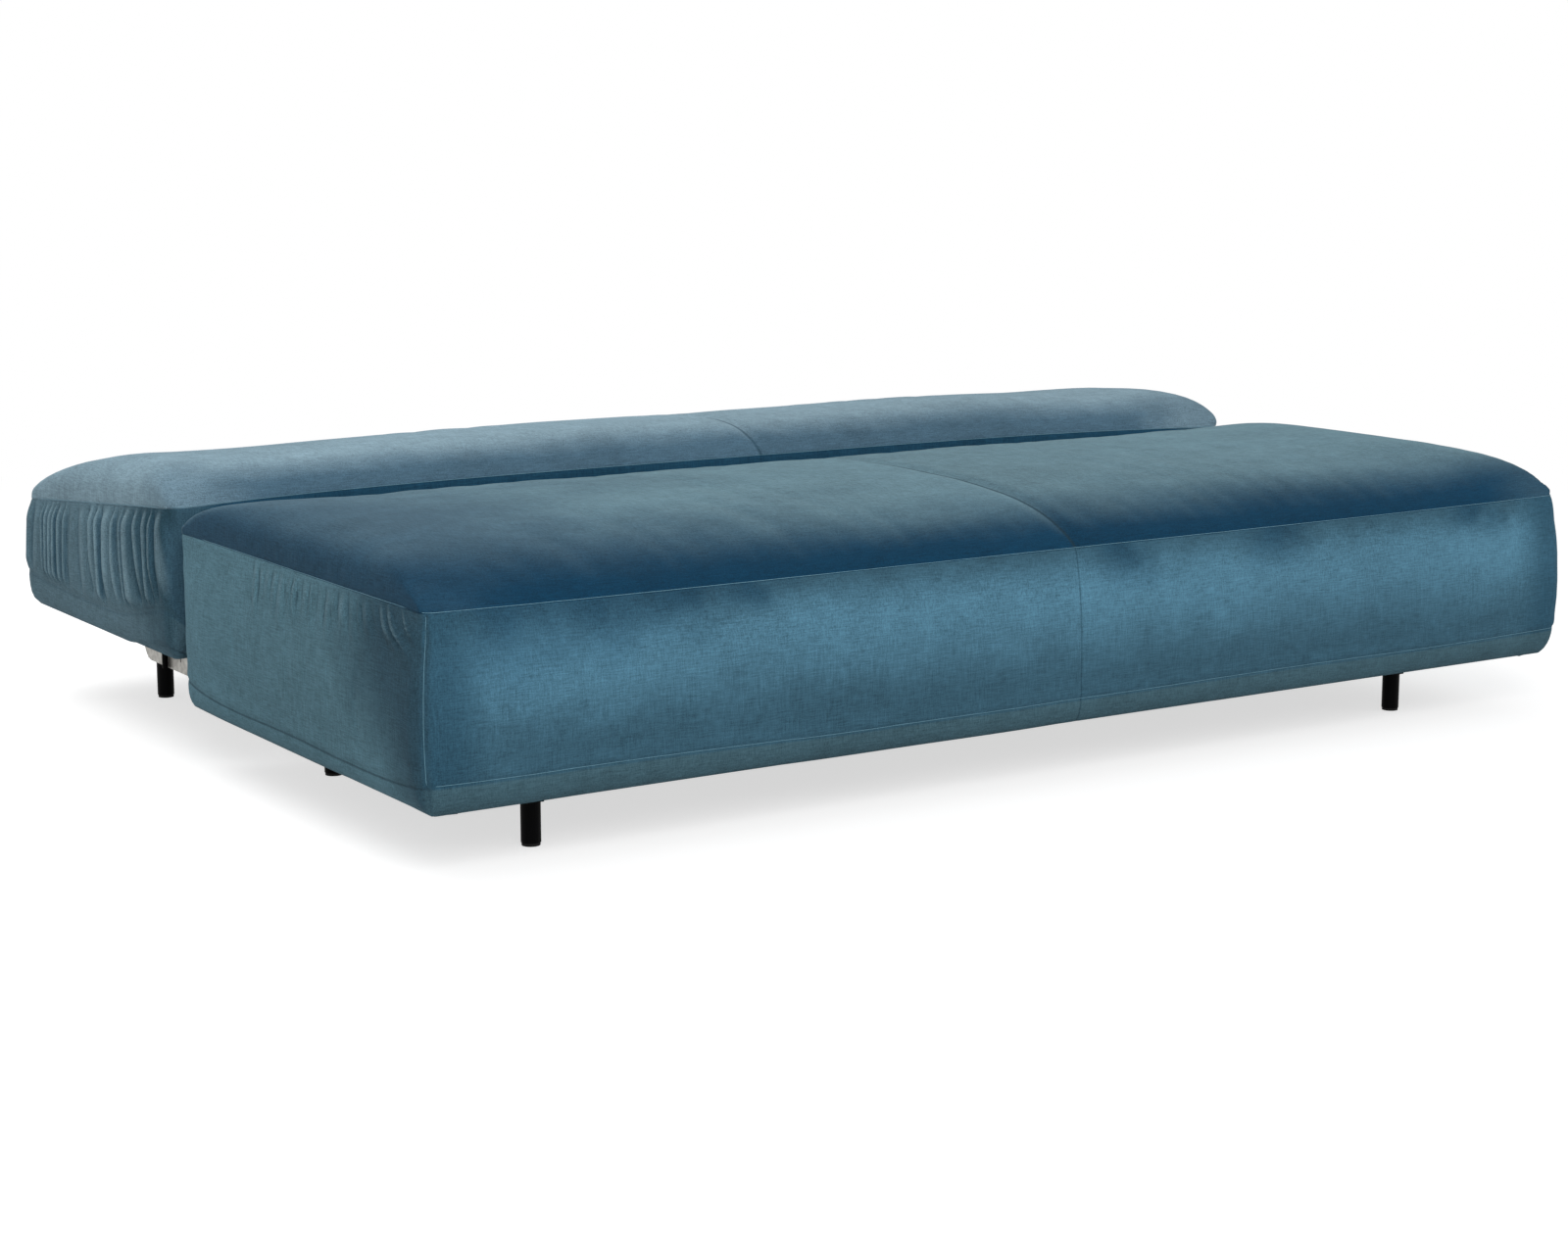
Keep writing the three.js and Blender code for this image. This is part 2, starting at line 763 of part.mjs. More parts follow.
// Strips on the rails whose tongues run inside the channels
function addSlideStrips() {
  const front = middleLegY - railFrontReach + stripFrontSetback;
  const rear = front + stripLength;
  const railInner = railX - railWidth / 2 - seatingGap;
  const channelEdge = runnerInnerX + runnerWidth + runningGap;
  for (const side of sides) {
    const body = sideBox(side, channelEdge, railInner, front, rear, railBottom, railTop);
    const tongue = sideBox(
      side,
      runnerInnerX + runnerWall + runningGap,
      railInner,
      front,
      rear,
      railBottom + runnerWall + runningGap,
      runnerTop - runnerWall - runningGap,
    );
    addPiece(`slide_strip_${side.name}`, 'nylon', join(body, [tongue]));
  }
}

// The plate outside each rear leg: a long low bar, a round lobe at the leg and a tower for the bumper
function bracketShape() {
  const front = rearLegY - bracketFrontReach;
  const lowTop = railBottom + bracketLowHeight;
  const lobeTop = railBottom + bracketLobeRadius;
  const towerTop = bumperTop - bracketTowerTopDrop;
  const towerFront = bracketRear - bracketTowerWidth;
  const shape = new THREE.Shape();
  shape.moveTo(front, railBottom);
  shape.lineTo(bracketRear - bracketLobeRadius, railBottom);
  shape.absarc(bracketRear - bracketLobeRadius, lobeTop, bracketLobeRadius, -quarterTurn, 0, false);
  shape.lineTo(bracketRear, towerTop);
  shape.lineTo(towerFront, towerTop);
  shape.lineTo(towerFront, lowTop);
  shape.lineTo(front, lowTop);
  return shape;
}

function addBrackets() {
  const outer = bracketX + bracketThickness;
  const slotY = rearLegY - bracketSlotFromLeg;
  const slotZ = railBottom + bracketSlotRise;
  const boltY = rearLegY - stopBoltFromLeg;
  const boltX = outer + seatingGap + stopBoltRadius;
  const towerTop = bumperTop - bracketTowerTopDrop;
  const bumperY = bracketRear - bracketTowerWidth / 2;
  const bumperX = bracketX + bracketThickness / 2;
  for (const side of sides) {
    const plate = sidePlate(side, bracketShape(), bracketX, outer);
    const slot = sideBox(
      side,
      bracketX - bracketThickness,
      outer + bracketThickness,
      slotY - bracketSlotWidth / 2,
      slotY + bracketSlotWidth / 2,
      slotZ - bracketSlotHeight / 2,
      slotZ + bracketSlotHeight / 2,
    );
    addPiece(`rear_bracket_${side.name}`, 'galvanised', cut(plate, [slot]));
    const bolt = uprightBar(stopBoltRadius, side.sign * boltX, boltY, railBottom, railBottom + stopBoltHeight);
    addPiece(`stop_bolt_${side.name}`, 'rubber', bolt);
    const bumper = sideBox(
      side,
      bumperX - bumperWidth / 2,
      bumperX + bumperWidth / 2,
      bumperY - bumperDepth / 2,
      bumperY + bumperDepth / 2,
      towerTop + seatingGap,
      bumperTop,
    );
    addPiece(`bumper_${side.name}`, 'rubber', bumper);
  }
}

// The fixed hinge plate: a foot on the runner, an arm and a round head at the pivot
function hingePlateShape() {
  const foot = hingeFootLength / 2;
  const arm = hingeArmWidth / 2;
  const shape = new THREE.Shape();
  shape.moveTo(pivotY - foot, railBottom);
  shape.lineTo(pivotY + runnerRearReach, railBottom);
  shape.lineTo(pivotY + runnerRearReach, runnerTop);
  shape.lineTo(pivotY + arm, runnerTop);
  const headAngle = Math.acos(arm / hingeHeadRadius);
  shape.absarc(pivotY, pivotHeight, hingeHeadRadius, -headAngle, halfTurn + headAngle, false);
  shape.lineTo(pivotY - arm, runnerTop);
  shape.lineTo(pivotY - foot, runnerTop);
  return shape;
}

function pawlPivot() {
  return { y: pivotY - pawlPivotForward, z: pivotHeight - pawlPivotDrop };
}

// The back's plate: a notched round head and a foot along the bearer
function backPlateShape() {
  const footTop = backBoardTop;
  const footBottom = footTop - backPlateFootHeight;
  const shape = new THREE.Shape();
  shape.moveTo(pivotY + backPlateFootStart, footBottom);
  shape.lineTo(pivotY + backPlateLength, footBottom);
  shape.lineTo(pivotY + backPlateLength, footTop);
  shape.lineTo(pivotY + slotRearReach, footTop);
  shape.absarc(pivotY, pivotHeight, backPlateHeadRadius, 0, -halfTurn / 4, false);
  return shape;
}

function notchCutter(side, index) {
  const pawlAngle = Math.atan2(-pawlPivotDrop, -pawlPivotForward);
  const angle = pawlAngle - notchStep * index * degree;
  const reach = backPlateHeadRadius + notchDepth;
  const y = Math.cos(angle);
  const z = Math.sin(angle);
  const shape = new THREE.Shape();
  const deep = backPlateHeadRadius - notchDepth;
  shape.moveTo(pivotY + y * deep, pivotHeight + z * deep);
  shape.lineTo(pivotY + y * reach - z * notchHalfWidth, pivotHeight + z * reach + y * notchHalfWidth);
  shape.lineTo(pivotY + y * reach + z * notchHalfWidth, pivotHeight + z * reach - y * notchHalfWidth);
  return sidePlate(side, shape, backPlateX - boreGap, backPlateX + backPlateThickness + boreGap);
}

// The pawl: an eye on the fixed plate's stud and a tip just off the notched head
function pawlShape() {
  const pivot = pawlPivot();
  const tipReach = backPlateHeadRadius + pawlTipGap;
  const toHead = Math.atan2(pivotHeight - pivot.z, pivotY - pivot.y);
  const tipY = pivotY - Math.cos(toHead) * tipReach;
  const tipZ = pivotHeight - Math.sin(toHead) * tipReach;
  const acrossY = Math.sin(toHead);
  const acrossZ = -Math.cos(toHead);
  const half = pawlTipWidth / 2;
  const shape = new THREE.Shape();
  shape.moveTo(tipY, tipZ);
  shape.lineTo(tipY - acrossY * half, tipZ - acrossZ * half - half);
  shape.absarc(pivot.y, pivot.z, pawlEyeRadius, halfTurn - halfTurn / 8, halfTurn * 2 + halfTurn / 8, false);
  shape.lineTo(tipY + acrossY * half, tipZ + acrossZ * half - half);
  return shape;
}

function addHinges() {
  const hingeOuter = hingePlateX + hingePlateThickness;
  const backPlateOuter = backPlateX + backPlateThickness;
  const pawl = pawlPivot();
  const boreRadius = hingePinRadius + boreGap;
  for (const side of sides) {
    const pinBore = sideBar(
      side, boreRadius, backPlateX - cutOverrun, hingeOuter + cutOverrun, pivotY, pivotHeight);
    const pawlStud = sideBar(side, pawlPinRadius, backPlateX, hingeOuter, pawl.y, pawl.z);
    const fixedPlate = cut(sidePlate(side, hingePlateShape(), hingePlateX, hingeOuter), [pinBore]);
    addPiece(`hinge_plate_${side.name}`, 'steel', join(fixedPlate, [pawlStud]));
    const notches = [];
    for (let i = 0; i < notchCount; i += 1) {
      notches.push(notchCutter(side, i));
    }
    const movingPlate = sidePlate(side, backPlateShape(), backPlateX, backPlateOuter);
    addPiece(`back_plate_${side.name}`, 'steel', cut(movingPlate, [pinBore, ...notches]));
    const shank = sideBar(
      side, hingePinRadius, backPlateX - runningGap, hingeOuter + runningGap, pivotY, pivotHeight);
    const innerHead = sideBar(
      side,
      hingePinHeadRadius,
      backPlateX - runningGap - hingePinHeadHeight,
      backPlateX - runningGap,
      pivotY,
      pivotHeight,
    );
    const outerHead = sideBar(
      side,
      hingePinHeadRadius,
      hingeOuter + runningGap,
      hingeOuter + runningGap + hingePinHeadHeight,
      pivotY,
      pivotHeight,
    );
    addPiece(`hinge_pin_${side.name}`, 'steel', join(shank, [innerHead, outerHead]));
    const pawlEye = sideBar(
      side, pawlPinRadius + boreGap, backPlateX - cutOverrun, backPlateOuter + cutOverrun, pawl.y, pawl.z);
    const pawlPlate = sidePlate(side, pawlShape(), backPlateX, backPlateOuter);
    addPiece(`pawl_${side.name}`, 'steel', cut(pawlPlate, [pawlEye]));
  }
}

addBase();
addLegs();
addSlideStrips();
addBrackets();
addRunners();
addSeatFrame();
addSeatSoftPieces();
addHinges();
addBackFrame();
addBackSoftPieces();
addLinings();

const group = new THREE.Group();
group.add(bed);

export default group;
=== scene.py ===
"""Looks of the click clack sofa bed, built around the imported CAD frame."""

import math
from types import SimpleNamespace

import bpy
import numpy as np
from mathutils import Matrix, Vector


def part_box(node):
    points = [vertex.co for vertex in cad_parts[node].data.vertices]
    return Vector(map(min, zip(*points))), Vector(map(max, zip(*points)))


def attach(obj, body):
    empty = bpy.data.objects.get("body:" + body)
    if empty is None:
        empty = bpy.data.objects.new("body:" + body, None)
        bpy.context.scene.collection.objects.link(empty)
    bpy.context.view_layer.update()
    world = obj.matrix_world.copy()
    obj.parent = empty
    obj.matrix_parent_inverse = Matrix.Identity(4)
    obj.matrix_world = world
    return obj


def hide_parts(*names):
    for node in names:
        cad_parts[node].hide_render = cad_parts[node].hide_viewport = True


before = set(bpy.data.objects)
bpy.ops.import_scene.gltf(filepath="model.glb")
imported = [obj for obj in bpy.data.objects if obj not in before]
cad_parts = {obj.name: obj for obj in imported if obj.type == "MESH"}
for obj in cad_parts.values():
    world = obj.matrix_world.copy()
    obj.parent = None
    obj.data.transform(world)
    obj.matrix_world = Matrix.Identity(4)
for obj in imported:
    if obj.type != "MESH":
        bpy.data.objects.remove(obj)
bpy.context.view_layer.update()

MM = 0.001
TAU = 2 * math.pi

# The seat's front seam lies this far in front of the frame's middle
FRONT = -777 * MM
HALF_LENGTH = 1030 * MM
CENTRE_SEAM_X = 30 * MM
HEM_RETURN = 30 * MM
FABRIC = 3 * MM

# Each block's own sizes: a hem has a depth and a reach, and other pairs are the left and the right end's
SEAT = SimpleNamespace(
    name="seat",
    front=FRONT,
    rear=FRONT + 833 * MM,
    bottom=92 * MM,
    gap_side="rear",
    free_side="front",
    front_seam=360 * MM,
    rear_seam=362 * MM,
    front_seam_arch=-6 * MM,
    corner=18 * MM,
    corner_groove=0.9 * MM,
    thread_out=1.05 * MM,
    hem_thread=True,
    # Power of the mean that joins a rise from a side with a rise from an end
    corner_fullness=4.2,
    corner_puckers=1.6 * MM,
    crown=70 * MM,
    fall=80 * MM,
    rear_fall=86 * MM,
    end_roll=75 * MM,
    end_swell=(3 * MM, 3 * MM),
    right_spare=0.0,
    left_drop=0.0,
    top_gathers_share=0.025,
    bulge_skew=0.85,
    hem=(20 * MM, 36 * MM),
    front_hem=(18 * MM, 36 * MM),
    front_bulge=5 * MM,
    rear_bulge=0.0,
    end_bulge=(14 * MM, 14 * MM),
    corner_bulge=18 * MM,
    round_end_corners=False,
    rear_draft=34 * MM,
    seam_draw=18 * MM,
    edge_lift=3.5 * MM,
    edge_lift_right=5 * MM,
    edge_lift_front_end=0.0,
    edge_sway=2 * MM,
    edge_sway_ends=2 * MM,
    band=37 * MM,
    band_taper=1 * MM,
    cap=213 * MM,
    hinge_slots=False,
    seed=5,
    replaces=("seat_cover", "seat_foam"),
)
BACK = SimpleNamespace(
    name="back",
    front=FRONT + 861 * MM,
    rear=FRONT + 1537 * MM,
    bottom=155 * MM,
    gap_side="front",
    free_side="rear",
    front_seam=394 * MM,
    rear_seam=334 * MM,
    front_seam_arch=11 * MM,
    corner=32 * MM,
    corner_groove=0.0,
    thread_out=1.5 * MM,
    hem_thread=False,
    corner_fullness=2.8,
    corner_puckers=0.0,
    crown=78 * MM,
    fall=70 * MM,
    end_roll=90 * MM,
    end_swell=(0.0, 12 * MM),
    right_spare=38 * MM,
    left_drop=7 * MM,
    top_gathers_share=0.018,
    bulge_skew=0.6,
    hem=(10 * MM, 28 * MM),
    front_hem=(66 * MM, 66 * MM),
    front_bulge=0.0,
    rear_bulge=22 * MM,
    end_bulge=(7 * MM, 15 * MM),
    corner_bulge=8 * MM,
    round_end_corners=True,
    rear_draft=0.0,
    seam_draw=6 * MM,
    edge_lift=1.0 * MM,
    edge_lift_right=0.0,
    edge_lift_front_end=25 * MM,
    edge_sway=1 * MM,
    edge_sway_ends=0.0,
    band=48 * MM,
    band_taper=0.0,
    cap=273 * MM,
    hinge_slots=True,
    seed=11,
    replaces=("back_cover", "back_foam"),
)

# Points along a long side, along a short side, and round each half of a corner
LONG_STEPS = 332
SHORT_STEPS = 224
HALF_CORNER = 8
# Rows down a side, as distances from the seam above and from the hem's seam below
NEAR_SEAM = np.array([0, 2.2, 4.6, 7.6, 11.4, 16]) * MM
ROW_STEP = 6.2 * MM
BAND_ROWS = 6
RETURN_ROWS = 4
# Rows up the inside of the cover, as shares of its height
WALL_ROWS = (0.0, 0.12, 0.3, 0.6, 1.0)
WALL_THICK = 1.6 * FABRIC
UNSEEN_DEPTH = 300 * MM
SLIVER = 0.001 * MM

# Grooves of the seams: depth and width
TOP_GROOVE = (1.5 * MM, 2.4 * MM)
HEM_GROOVE = (1.3 * MM, 2.4 * MM)
CENTRE_GROOVE = (1.0 * MM, 4 * MM)
CORNER_GROOVE_WIDTH = 2.6 * MM
# The panel stands out a little above the hem's seam: height, distance above it, and width
HEM_ROLL = (0.9 * MM, 9 * MM, 7 * MM)
# Loose cloth: height and wavelength of its unevenness
SIDE_SWAY = (1.1 * MM, 340 * MM)
BAND_SWAY = (1.5 * MM, 500 * MM)
BAND_CORNER_RISE = 9 * MM
EDGE_SWAY_LENGTH = 420 * MM
EDGE_LIFT_LEAST = 0.5 * MM
EDGE_LIFT_MOST = 9 * MM
# The front hem stays low enough to hide the wooden board behind it
FRONT_EDGE_LIFT_MOST = 4 * MM
# Unevenness of the tops: height, wavelength, and the distances from the seam where it sets in
TOP_SWAYS = ((1.8 * MM, 600 * MM, 20 * MM, 140 * MM), (0.5 * MM, 160 * MM, 10 * MM, 60 * MM))
# The centre seam draws the top into a wide valley and a narrow groove: the same four sizes
CENTRE_VALLEYS = ((2.2 * MM, 16 * MM, 10 * MM, 60 * MM), (0.5 * MM, 3.2 * MM, 0.0, 30 * MM))
# Small puckers fan out round the front corners of a top: their number, turn, distance and width
CORNER_FAN = (11, 1.2, 38 * MM, 24 * MM)

THREAD_RADIUS = 0.45 * MM
THREAD_SIDES = 6

LINING_STEP = 12 * MM
LINING_THICK = 1.6 * MM
LINING_SAG = 5 * MM

# The cloth runs over every third point, and a share of what moves is kept
CLOTH_STEP = 3
CLOTH_LEVELS = 15
CLOTH_FRAMES = 20
CLOTH_SPARE = 0.012
CLOTH_CAP = 3 * MM
CLOTH_KEPT = 0.33

# The hinge plates stand in slots of the back, open to its lower front edge
HINGE_SLOTS = SimpleNamespace(
    x=(776.7 * MM, 804.5 * MM),
    rear=FRONT + 1057 * MM,
    low=100 * MM,
    cover_top=277 * MM,
    foam_top=337 * MM,
    behind_cover=20 * MM,
)
# The bearers stand on feet that pass through the seat's lining
BEARER_FEET = {"x": (798 * MM, 822 * MM), "y": (FRONT + 86 * MM, FRONT + 713 * MM)}
LINING_SLOT_FRONT = FRONT + 957 * MM
# Boards that hold a lining up, and the distance from the middle within which it hangs free
SEAT_LINING_BOARDS = (0.0, 790 * MM)
SEAT_LINING_FREE = 790 * MM
BACK_LINING_BOARDS = (775 * MM,)
BACK_LINING_FREE = 765 * MM

CAMERA = SimpleNamespace(
    place=(-2.552, -3.931, 0.976),
    degrees_down=10.31,
    degrees_right=33.17,
    sensor=36,
    lens=64.55,
    clip=(0.1, 200),
)
# Name, place, target, size and power
LAMPS = (
    ("key", (-2.2, -4.2, 2.7), (0, 0, 0.2), (2.4, 2.0), 105),
    ("over", (-1.4, 1.8, 4.0), (-0.1, 0.1, 0.2), (4.0, 3.0), 75),
    ("fill", (3.6, -3.4, 2.0), (0.2, 0, 0.2), (2.6, 2.0), 30),
)
FLOOR_HALF = 40
FLOOR_TONE = 0.62
# The floor glows by itself towards the camera, and fades to white between these distances from the bed
FLOOR_GLOW = 0.65
FLOOR_FADE = (1.5, 3.6)
WORLD_LIGHT = 0.45


# Shapes of numbers


def smooth(edge0, edge1, value):
    t = np.clip((value - edge0) / (edge1 - edge0), 0, 1)
    return t * t * (3 - 2 * t)


def fall_off(distance, length):
    return 1 - np.exp(-np.maximum(distance, 0) / length)


def bell(distance, width):
    return np.exp(-(distance / width) ** 2)


def waves(points, seed, length, count=7):
    """A smooth seeded unevenness, about -1 to 1, over points of shape (..., 3)."""
    rng = np.random.default_rng(seed)
    total = np.zeros(points.shape[:-1])
    for _ in range(count):
        direction = rng.normal(size=3)
        direction *= TAU / length * rng.uniform(0.6, 1.5) / np.linalg.norm(direction)
        total += np.sin(points @ direction + rng.uniform(0, TAU))
    return total / math.sqrt(count)


def blurred(values, axis, passes, wrap=False):
    for _ in range(passes):
        before, after = np.roll(values, 1, axis), np.roll(values, -1, axis)
        if not wrap:
            edge = [slice(None)] * values.ndim
            edge[axis] = 0
            before[tuple(edge)] = values[tuple(edge)]
            edge[axis] = -1
            after[tuple(edge)] = values[tuple(edge)]
        values = (before + 2 * values + after) / 4
    return values


def between(values, places, axis):
    """Values at fractional places along an axis."""
    low = np.clip(np.floor(places).astype(int), 0, values.shape[axis] - 1)
    high = np.minimum(low + 1, values.shape[axis] - 1)
    shape = [1] * values.ndim
    shape[axis] = len(places)
    share = (places - low).reshape(shape)
    return np.take(values, low, axis) * (1 - share) + np.take(values, high, axis) * share


# The plan of a block and its sides


def outline(block):
    """The plan's outline, from the middle of the front left corner and anticlockwise seen from above."""
    hx, front, rear, r = HALF_LENGTH, block.front, block.rear, block.corner
    corners = [(hx - r, front + r), (hx - r, rear - r), (r - hx, rear - r), (r - hx, front + r)]
    rows = []
    for side in range(4):
        steps = LONG_STEPS if side % 2 == 0 else SHORT_STEPS
        before, after = np.array(corners[side - 1]), np.array(corners[side])
        turn = (side - 1) * math.pi / 2
        spans = [(before, turn - math.pi / 4, HALF_CORNER), (None, turn, steps), (after, turn, HALF_CORNER)]
        for centre, start, count in spans:
            for i in range(count):
                angle = start + (math.pi / 4 * i / count if centre is not None else 0)
                normal = np.array([math.cos(angle), math.sin(angle)])
                along = i / count
                middle = 1 - (2 * along - 1) ** 4 if centre is None else 0
                place = centre if centre is not None else before + (after - before) * along
                rows.append((*(place + normal * r), *normal, middle, side))
    return np.array(rows).T


def ring_row(ring, out, z):
    """A closed row of points at a distance outside the plan's outline."""
    return np.stack([ring[0] + ring[2] * out, ring[1] + ring[3] * out, z], -1)


def corner_distance(ring):
    """Distance along the outline from the nearest corner's upright seam."""
    columns, rows = LONG_STEPS + 2 * HALF_CORNER, SHORT_STEPS + 2 * HALF_CORNER
    plan = np.stack([ring[0], ring[1]], -1)
    steps = np.linalg.norm(np.roll(plan, -1, 0) - plan, axis=1)
    run = np.concatenate([[0], np.cumsum(steps)])
    seams = run[[0, columns, columns + rows, 2 * columns + rows, len(plan)]]
    return np.abs(run[:-1, None] - seams[None, :]).min(1)


def by_face(ny, nx, front, rear, end):
    return np.where(ny < 0, front, rear) * ny ** 2 + end * nx ** 2


def seam_height(block, y):
    along = (y - block.front) / (block.rear - block.front)
    return block.front_seam + (block.rear_seam - block.front_seam) * along


def side_outset(block, ring, share, height):
    """How far a side stands out of the plan at a share of its height."""
    x, y, nx, ny, middle, side = ring
    depth = by_face(ny, nx, block.front_hem[0], block.hem[0], block.hem[0])
    reach = by_face(ny, nx, block.front_hem[1], block.hem[1], block.hem[1])
    under = np.clip(1 - share * height / reach, 0, 1)
    hem = depth * (1 - np.sqrt(np.clip(1 - under ** 2.2, 0, 1)))
    end_bulge = np.where(x < 0, *block.end_bulge)
    bulge = by_face(ny, nx, block.front_bulge, block.rear_bulge, end_bulge)
    gap, free = getattr(block, block.gap_side), getattr(block, block.free_side)
    corner = (1 - middle) * smooth(gap, gap + 0.25 * (free - gap), y)
    corner_bulge = np.maximum(bulge, block.corner_bulge) * corner
    if block.round_end_corners:
        corner_bulge = np.maximum(corner_bulge, bulge * nx ** 2 * (1 - middle))
    swell = (bulge * middle + corner_bulge) * (1 - (2 * share ** block.bulge_skew - 1) ** 2)
    draft = by_face(ny, nx, 0, block.rear_draft, 0) * (1 - share)
    draw = by_face(ny, nx, block.seam_draw, 0, 0) * share ** 4 * middle
    return swell - hem - draft - draw


def plan_points(ring):
    return np.stack([ring[0], ring[1], 0 * ring[0]], -1)


def band_height(block, ring):
    """Height of the hem's seam above the lower edge, round the block."""
    high = block.band - block.band_taper * smooth(0.1, 0.9, ring[0])
    height, length = BAND_SWAY
    high = high + BAND_CORNER_RISE * (1 - ring[4])
    return high + height * waves(plan_points(ring), block.seed + 3, length)


def lower_edge(block, ring):
    """The lower edge rises and falls a little, as loose cloth does."""
    x, y, nx, ny, middle, side = ring
    sway = block.edge_sway + block.edge_sway_ends * nx ** 2
    lift = block.edge_lift + sway * waves(plan_points(ring), block.seed + 4, EDGE_SWAY_LENGTH)
    lift += block.edge_lift_right * smooth(0.2, 1.0, x)
    most = by_face(ny, nx, FRONT_EDGE_LIFT_MOST, EDGE_LIFT_MOST, EDGE_LIFT_MOST)
    lift = np.clip(lift, EDGE_LIFT_LEAST, most)
    lift += block.edge_lift_front_end * nx ** 2 * smooth(block.front + 0.25, block.front, y)
    return block.bottom + lift


class Gathers:
    """Soft pleats that hang from a seam, given in millimetres: each has its own width, depth and length."""

    WIDTHS = (0.35, 1.65)
    DEPTHS = (0.35, 1.2)
    LENGTHS = (0.55, 1.15)
    SHARPNESS = (0.7, 2.0)
    # Height and turns per metre of the two waves that the pleats sway in
    SWAYS = ((6 * MM, 31), (4 * MM, 67))

    def __init__(self, seed, start, end, width, depth, length, fan=0.0):
        rng = np.random.default_rng(seed)
        edges = [start * MM]
        while edges[-1] < end * MM:
            edges.append(edges[-1] + width * MM * rng.uniform(*self.WIDTHS))
        self.edges = np.array(edges)
        count = len(edges) - 1
        self.depth = depth * MM * rng.uniform(*self.DEPTHS, count)
        self.length = length * MM * rng.uniform(*self.LENGTHS, count)
        self.sharp = rng.uniform(*self.SHARPNESS, count)
        self.phase = rng.uniform(0, TAU, len(self.SWAYS))
        self.start, self.end, self.most, self.fan = start * MM, end * MM, depth * MM, fan

    def at(self, along, down):
        """Outward push and fold tone (-1 in a valley, 1 on a crest) at a distance below the seam; the tone
        paints shade and highlights.
        """
        (high, turns), (low, more_turns) = self.SWAYS
        sway = high * np.sin(along * turns + self.phase[0]) + low * np.sin(along * more_turns + self.phase[1])
        lean = self.fan * np.clip((self.end - along) / (self.end - self.start), 0, 1.2)
        place = along + lean * down - sway * smooth(0, 100 * MM, down)
        cell = np.searchsorted(self.edges, place) - 1
        inside = (cell >= 0) & (cell < len(self.depth))
        cell = np.clip(cell, 0, len(self.depth) - 1)
        share = (place - self.edges[cell]) / (self.edges[cell + 1] - self.edges[cell])
        ridge = np.sin(math.pi * np.clip(share, 0, 1)) ** self.sharp[cell]
        body = 0.45 + 0.55 * smooth(0, 18 * MM, down)
        fade = 1 - smooth(0.4, 1.0, down / self.length[cell])
        strength = np.where(inside, body * fade, 0)
        push = self.depth[cell] * ridge * strength * smooth(-8 * MM, 35 * MM, down)
        tone = (2 * ridge - 1) * strength * np.clip(self.depth[cell] / self.most, 0, 1)
        return push, tone


# Sides of the outline, in its order
RIGHT_END, LEFT_END = 1, 3
GATHERS = {
    "seat": {
        LEFT_END: [
            Gathers(21, 470, 535, 19, 4.2, 85),
            Gathers(22, 385, 470, 21, 6.2, 95),
            Gathers(23, 265, 350, 23, 4.2, 105),
            Gathers(24, 40, 255, 20, 7.8, 72, fan=1.3),
        ],
        RIGHT_END: [
            Gathers(25, 45, 300, 21, 7.0, 75, fan=1.3),
            Gathers(26, 400, 560, 22, 5.0, 95),
        ],
    },
    "back": {
        LEFT_END: [Gathers(31, 20, 655, 33, 12.5, 330, fan=0.25)],
        RIGHT_END: [Gathers(32, 20, 655, 33, 12.5, 330, fan=0.25)],
    },
}


def end_folds(block, side, y, down):
    """Push and tone of the gathers of the end panels at a distance from the top seam."""
    push, tone = 0 * down, 0 * down
    calm = smooth(0, 30 * MM, y - block.front) * smooth(0, 30 * MM, block.rear - y)
    for end, gathers in GATHERS[block.name].items():
        for pleats in gathers:
            p, t = pleats.at(y - block.front + 0 * down, down)
            push = push + p * calm * (side == end)
            tone = tone + t * calm * (side == end)
    return push, tone


def row_distances(panel, band):
    """Distances of a side's rows below its top seam: close ones at both seams, even ones between, the hem."""
    near = np.repeat(NEAR_SEAM[None, :], len(panel), 0)
    count = int(round((panel.mean() - 2 * NEAR_SEAM[-1]) / ROW_STEP))
    steps = np.linspace(0, 1, count + 1)[1:-1]
    middle = NEAR_SEAM[-1] + (panel[:, None] - 2 * NEAR_SEAM[-1]) * steps[None, :]
    hem = panel[:, None] + band[:, None] * (np.arange(1, BAND_ROWS + 1) / BAND_ROWS)[None, :]
    return np.concatenate([near, middle, panel[:, None] - near[:, ::-1], hem], 1).T


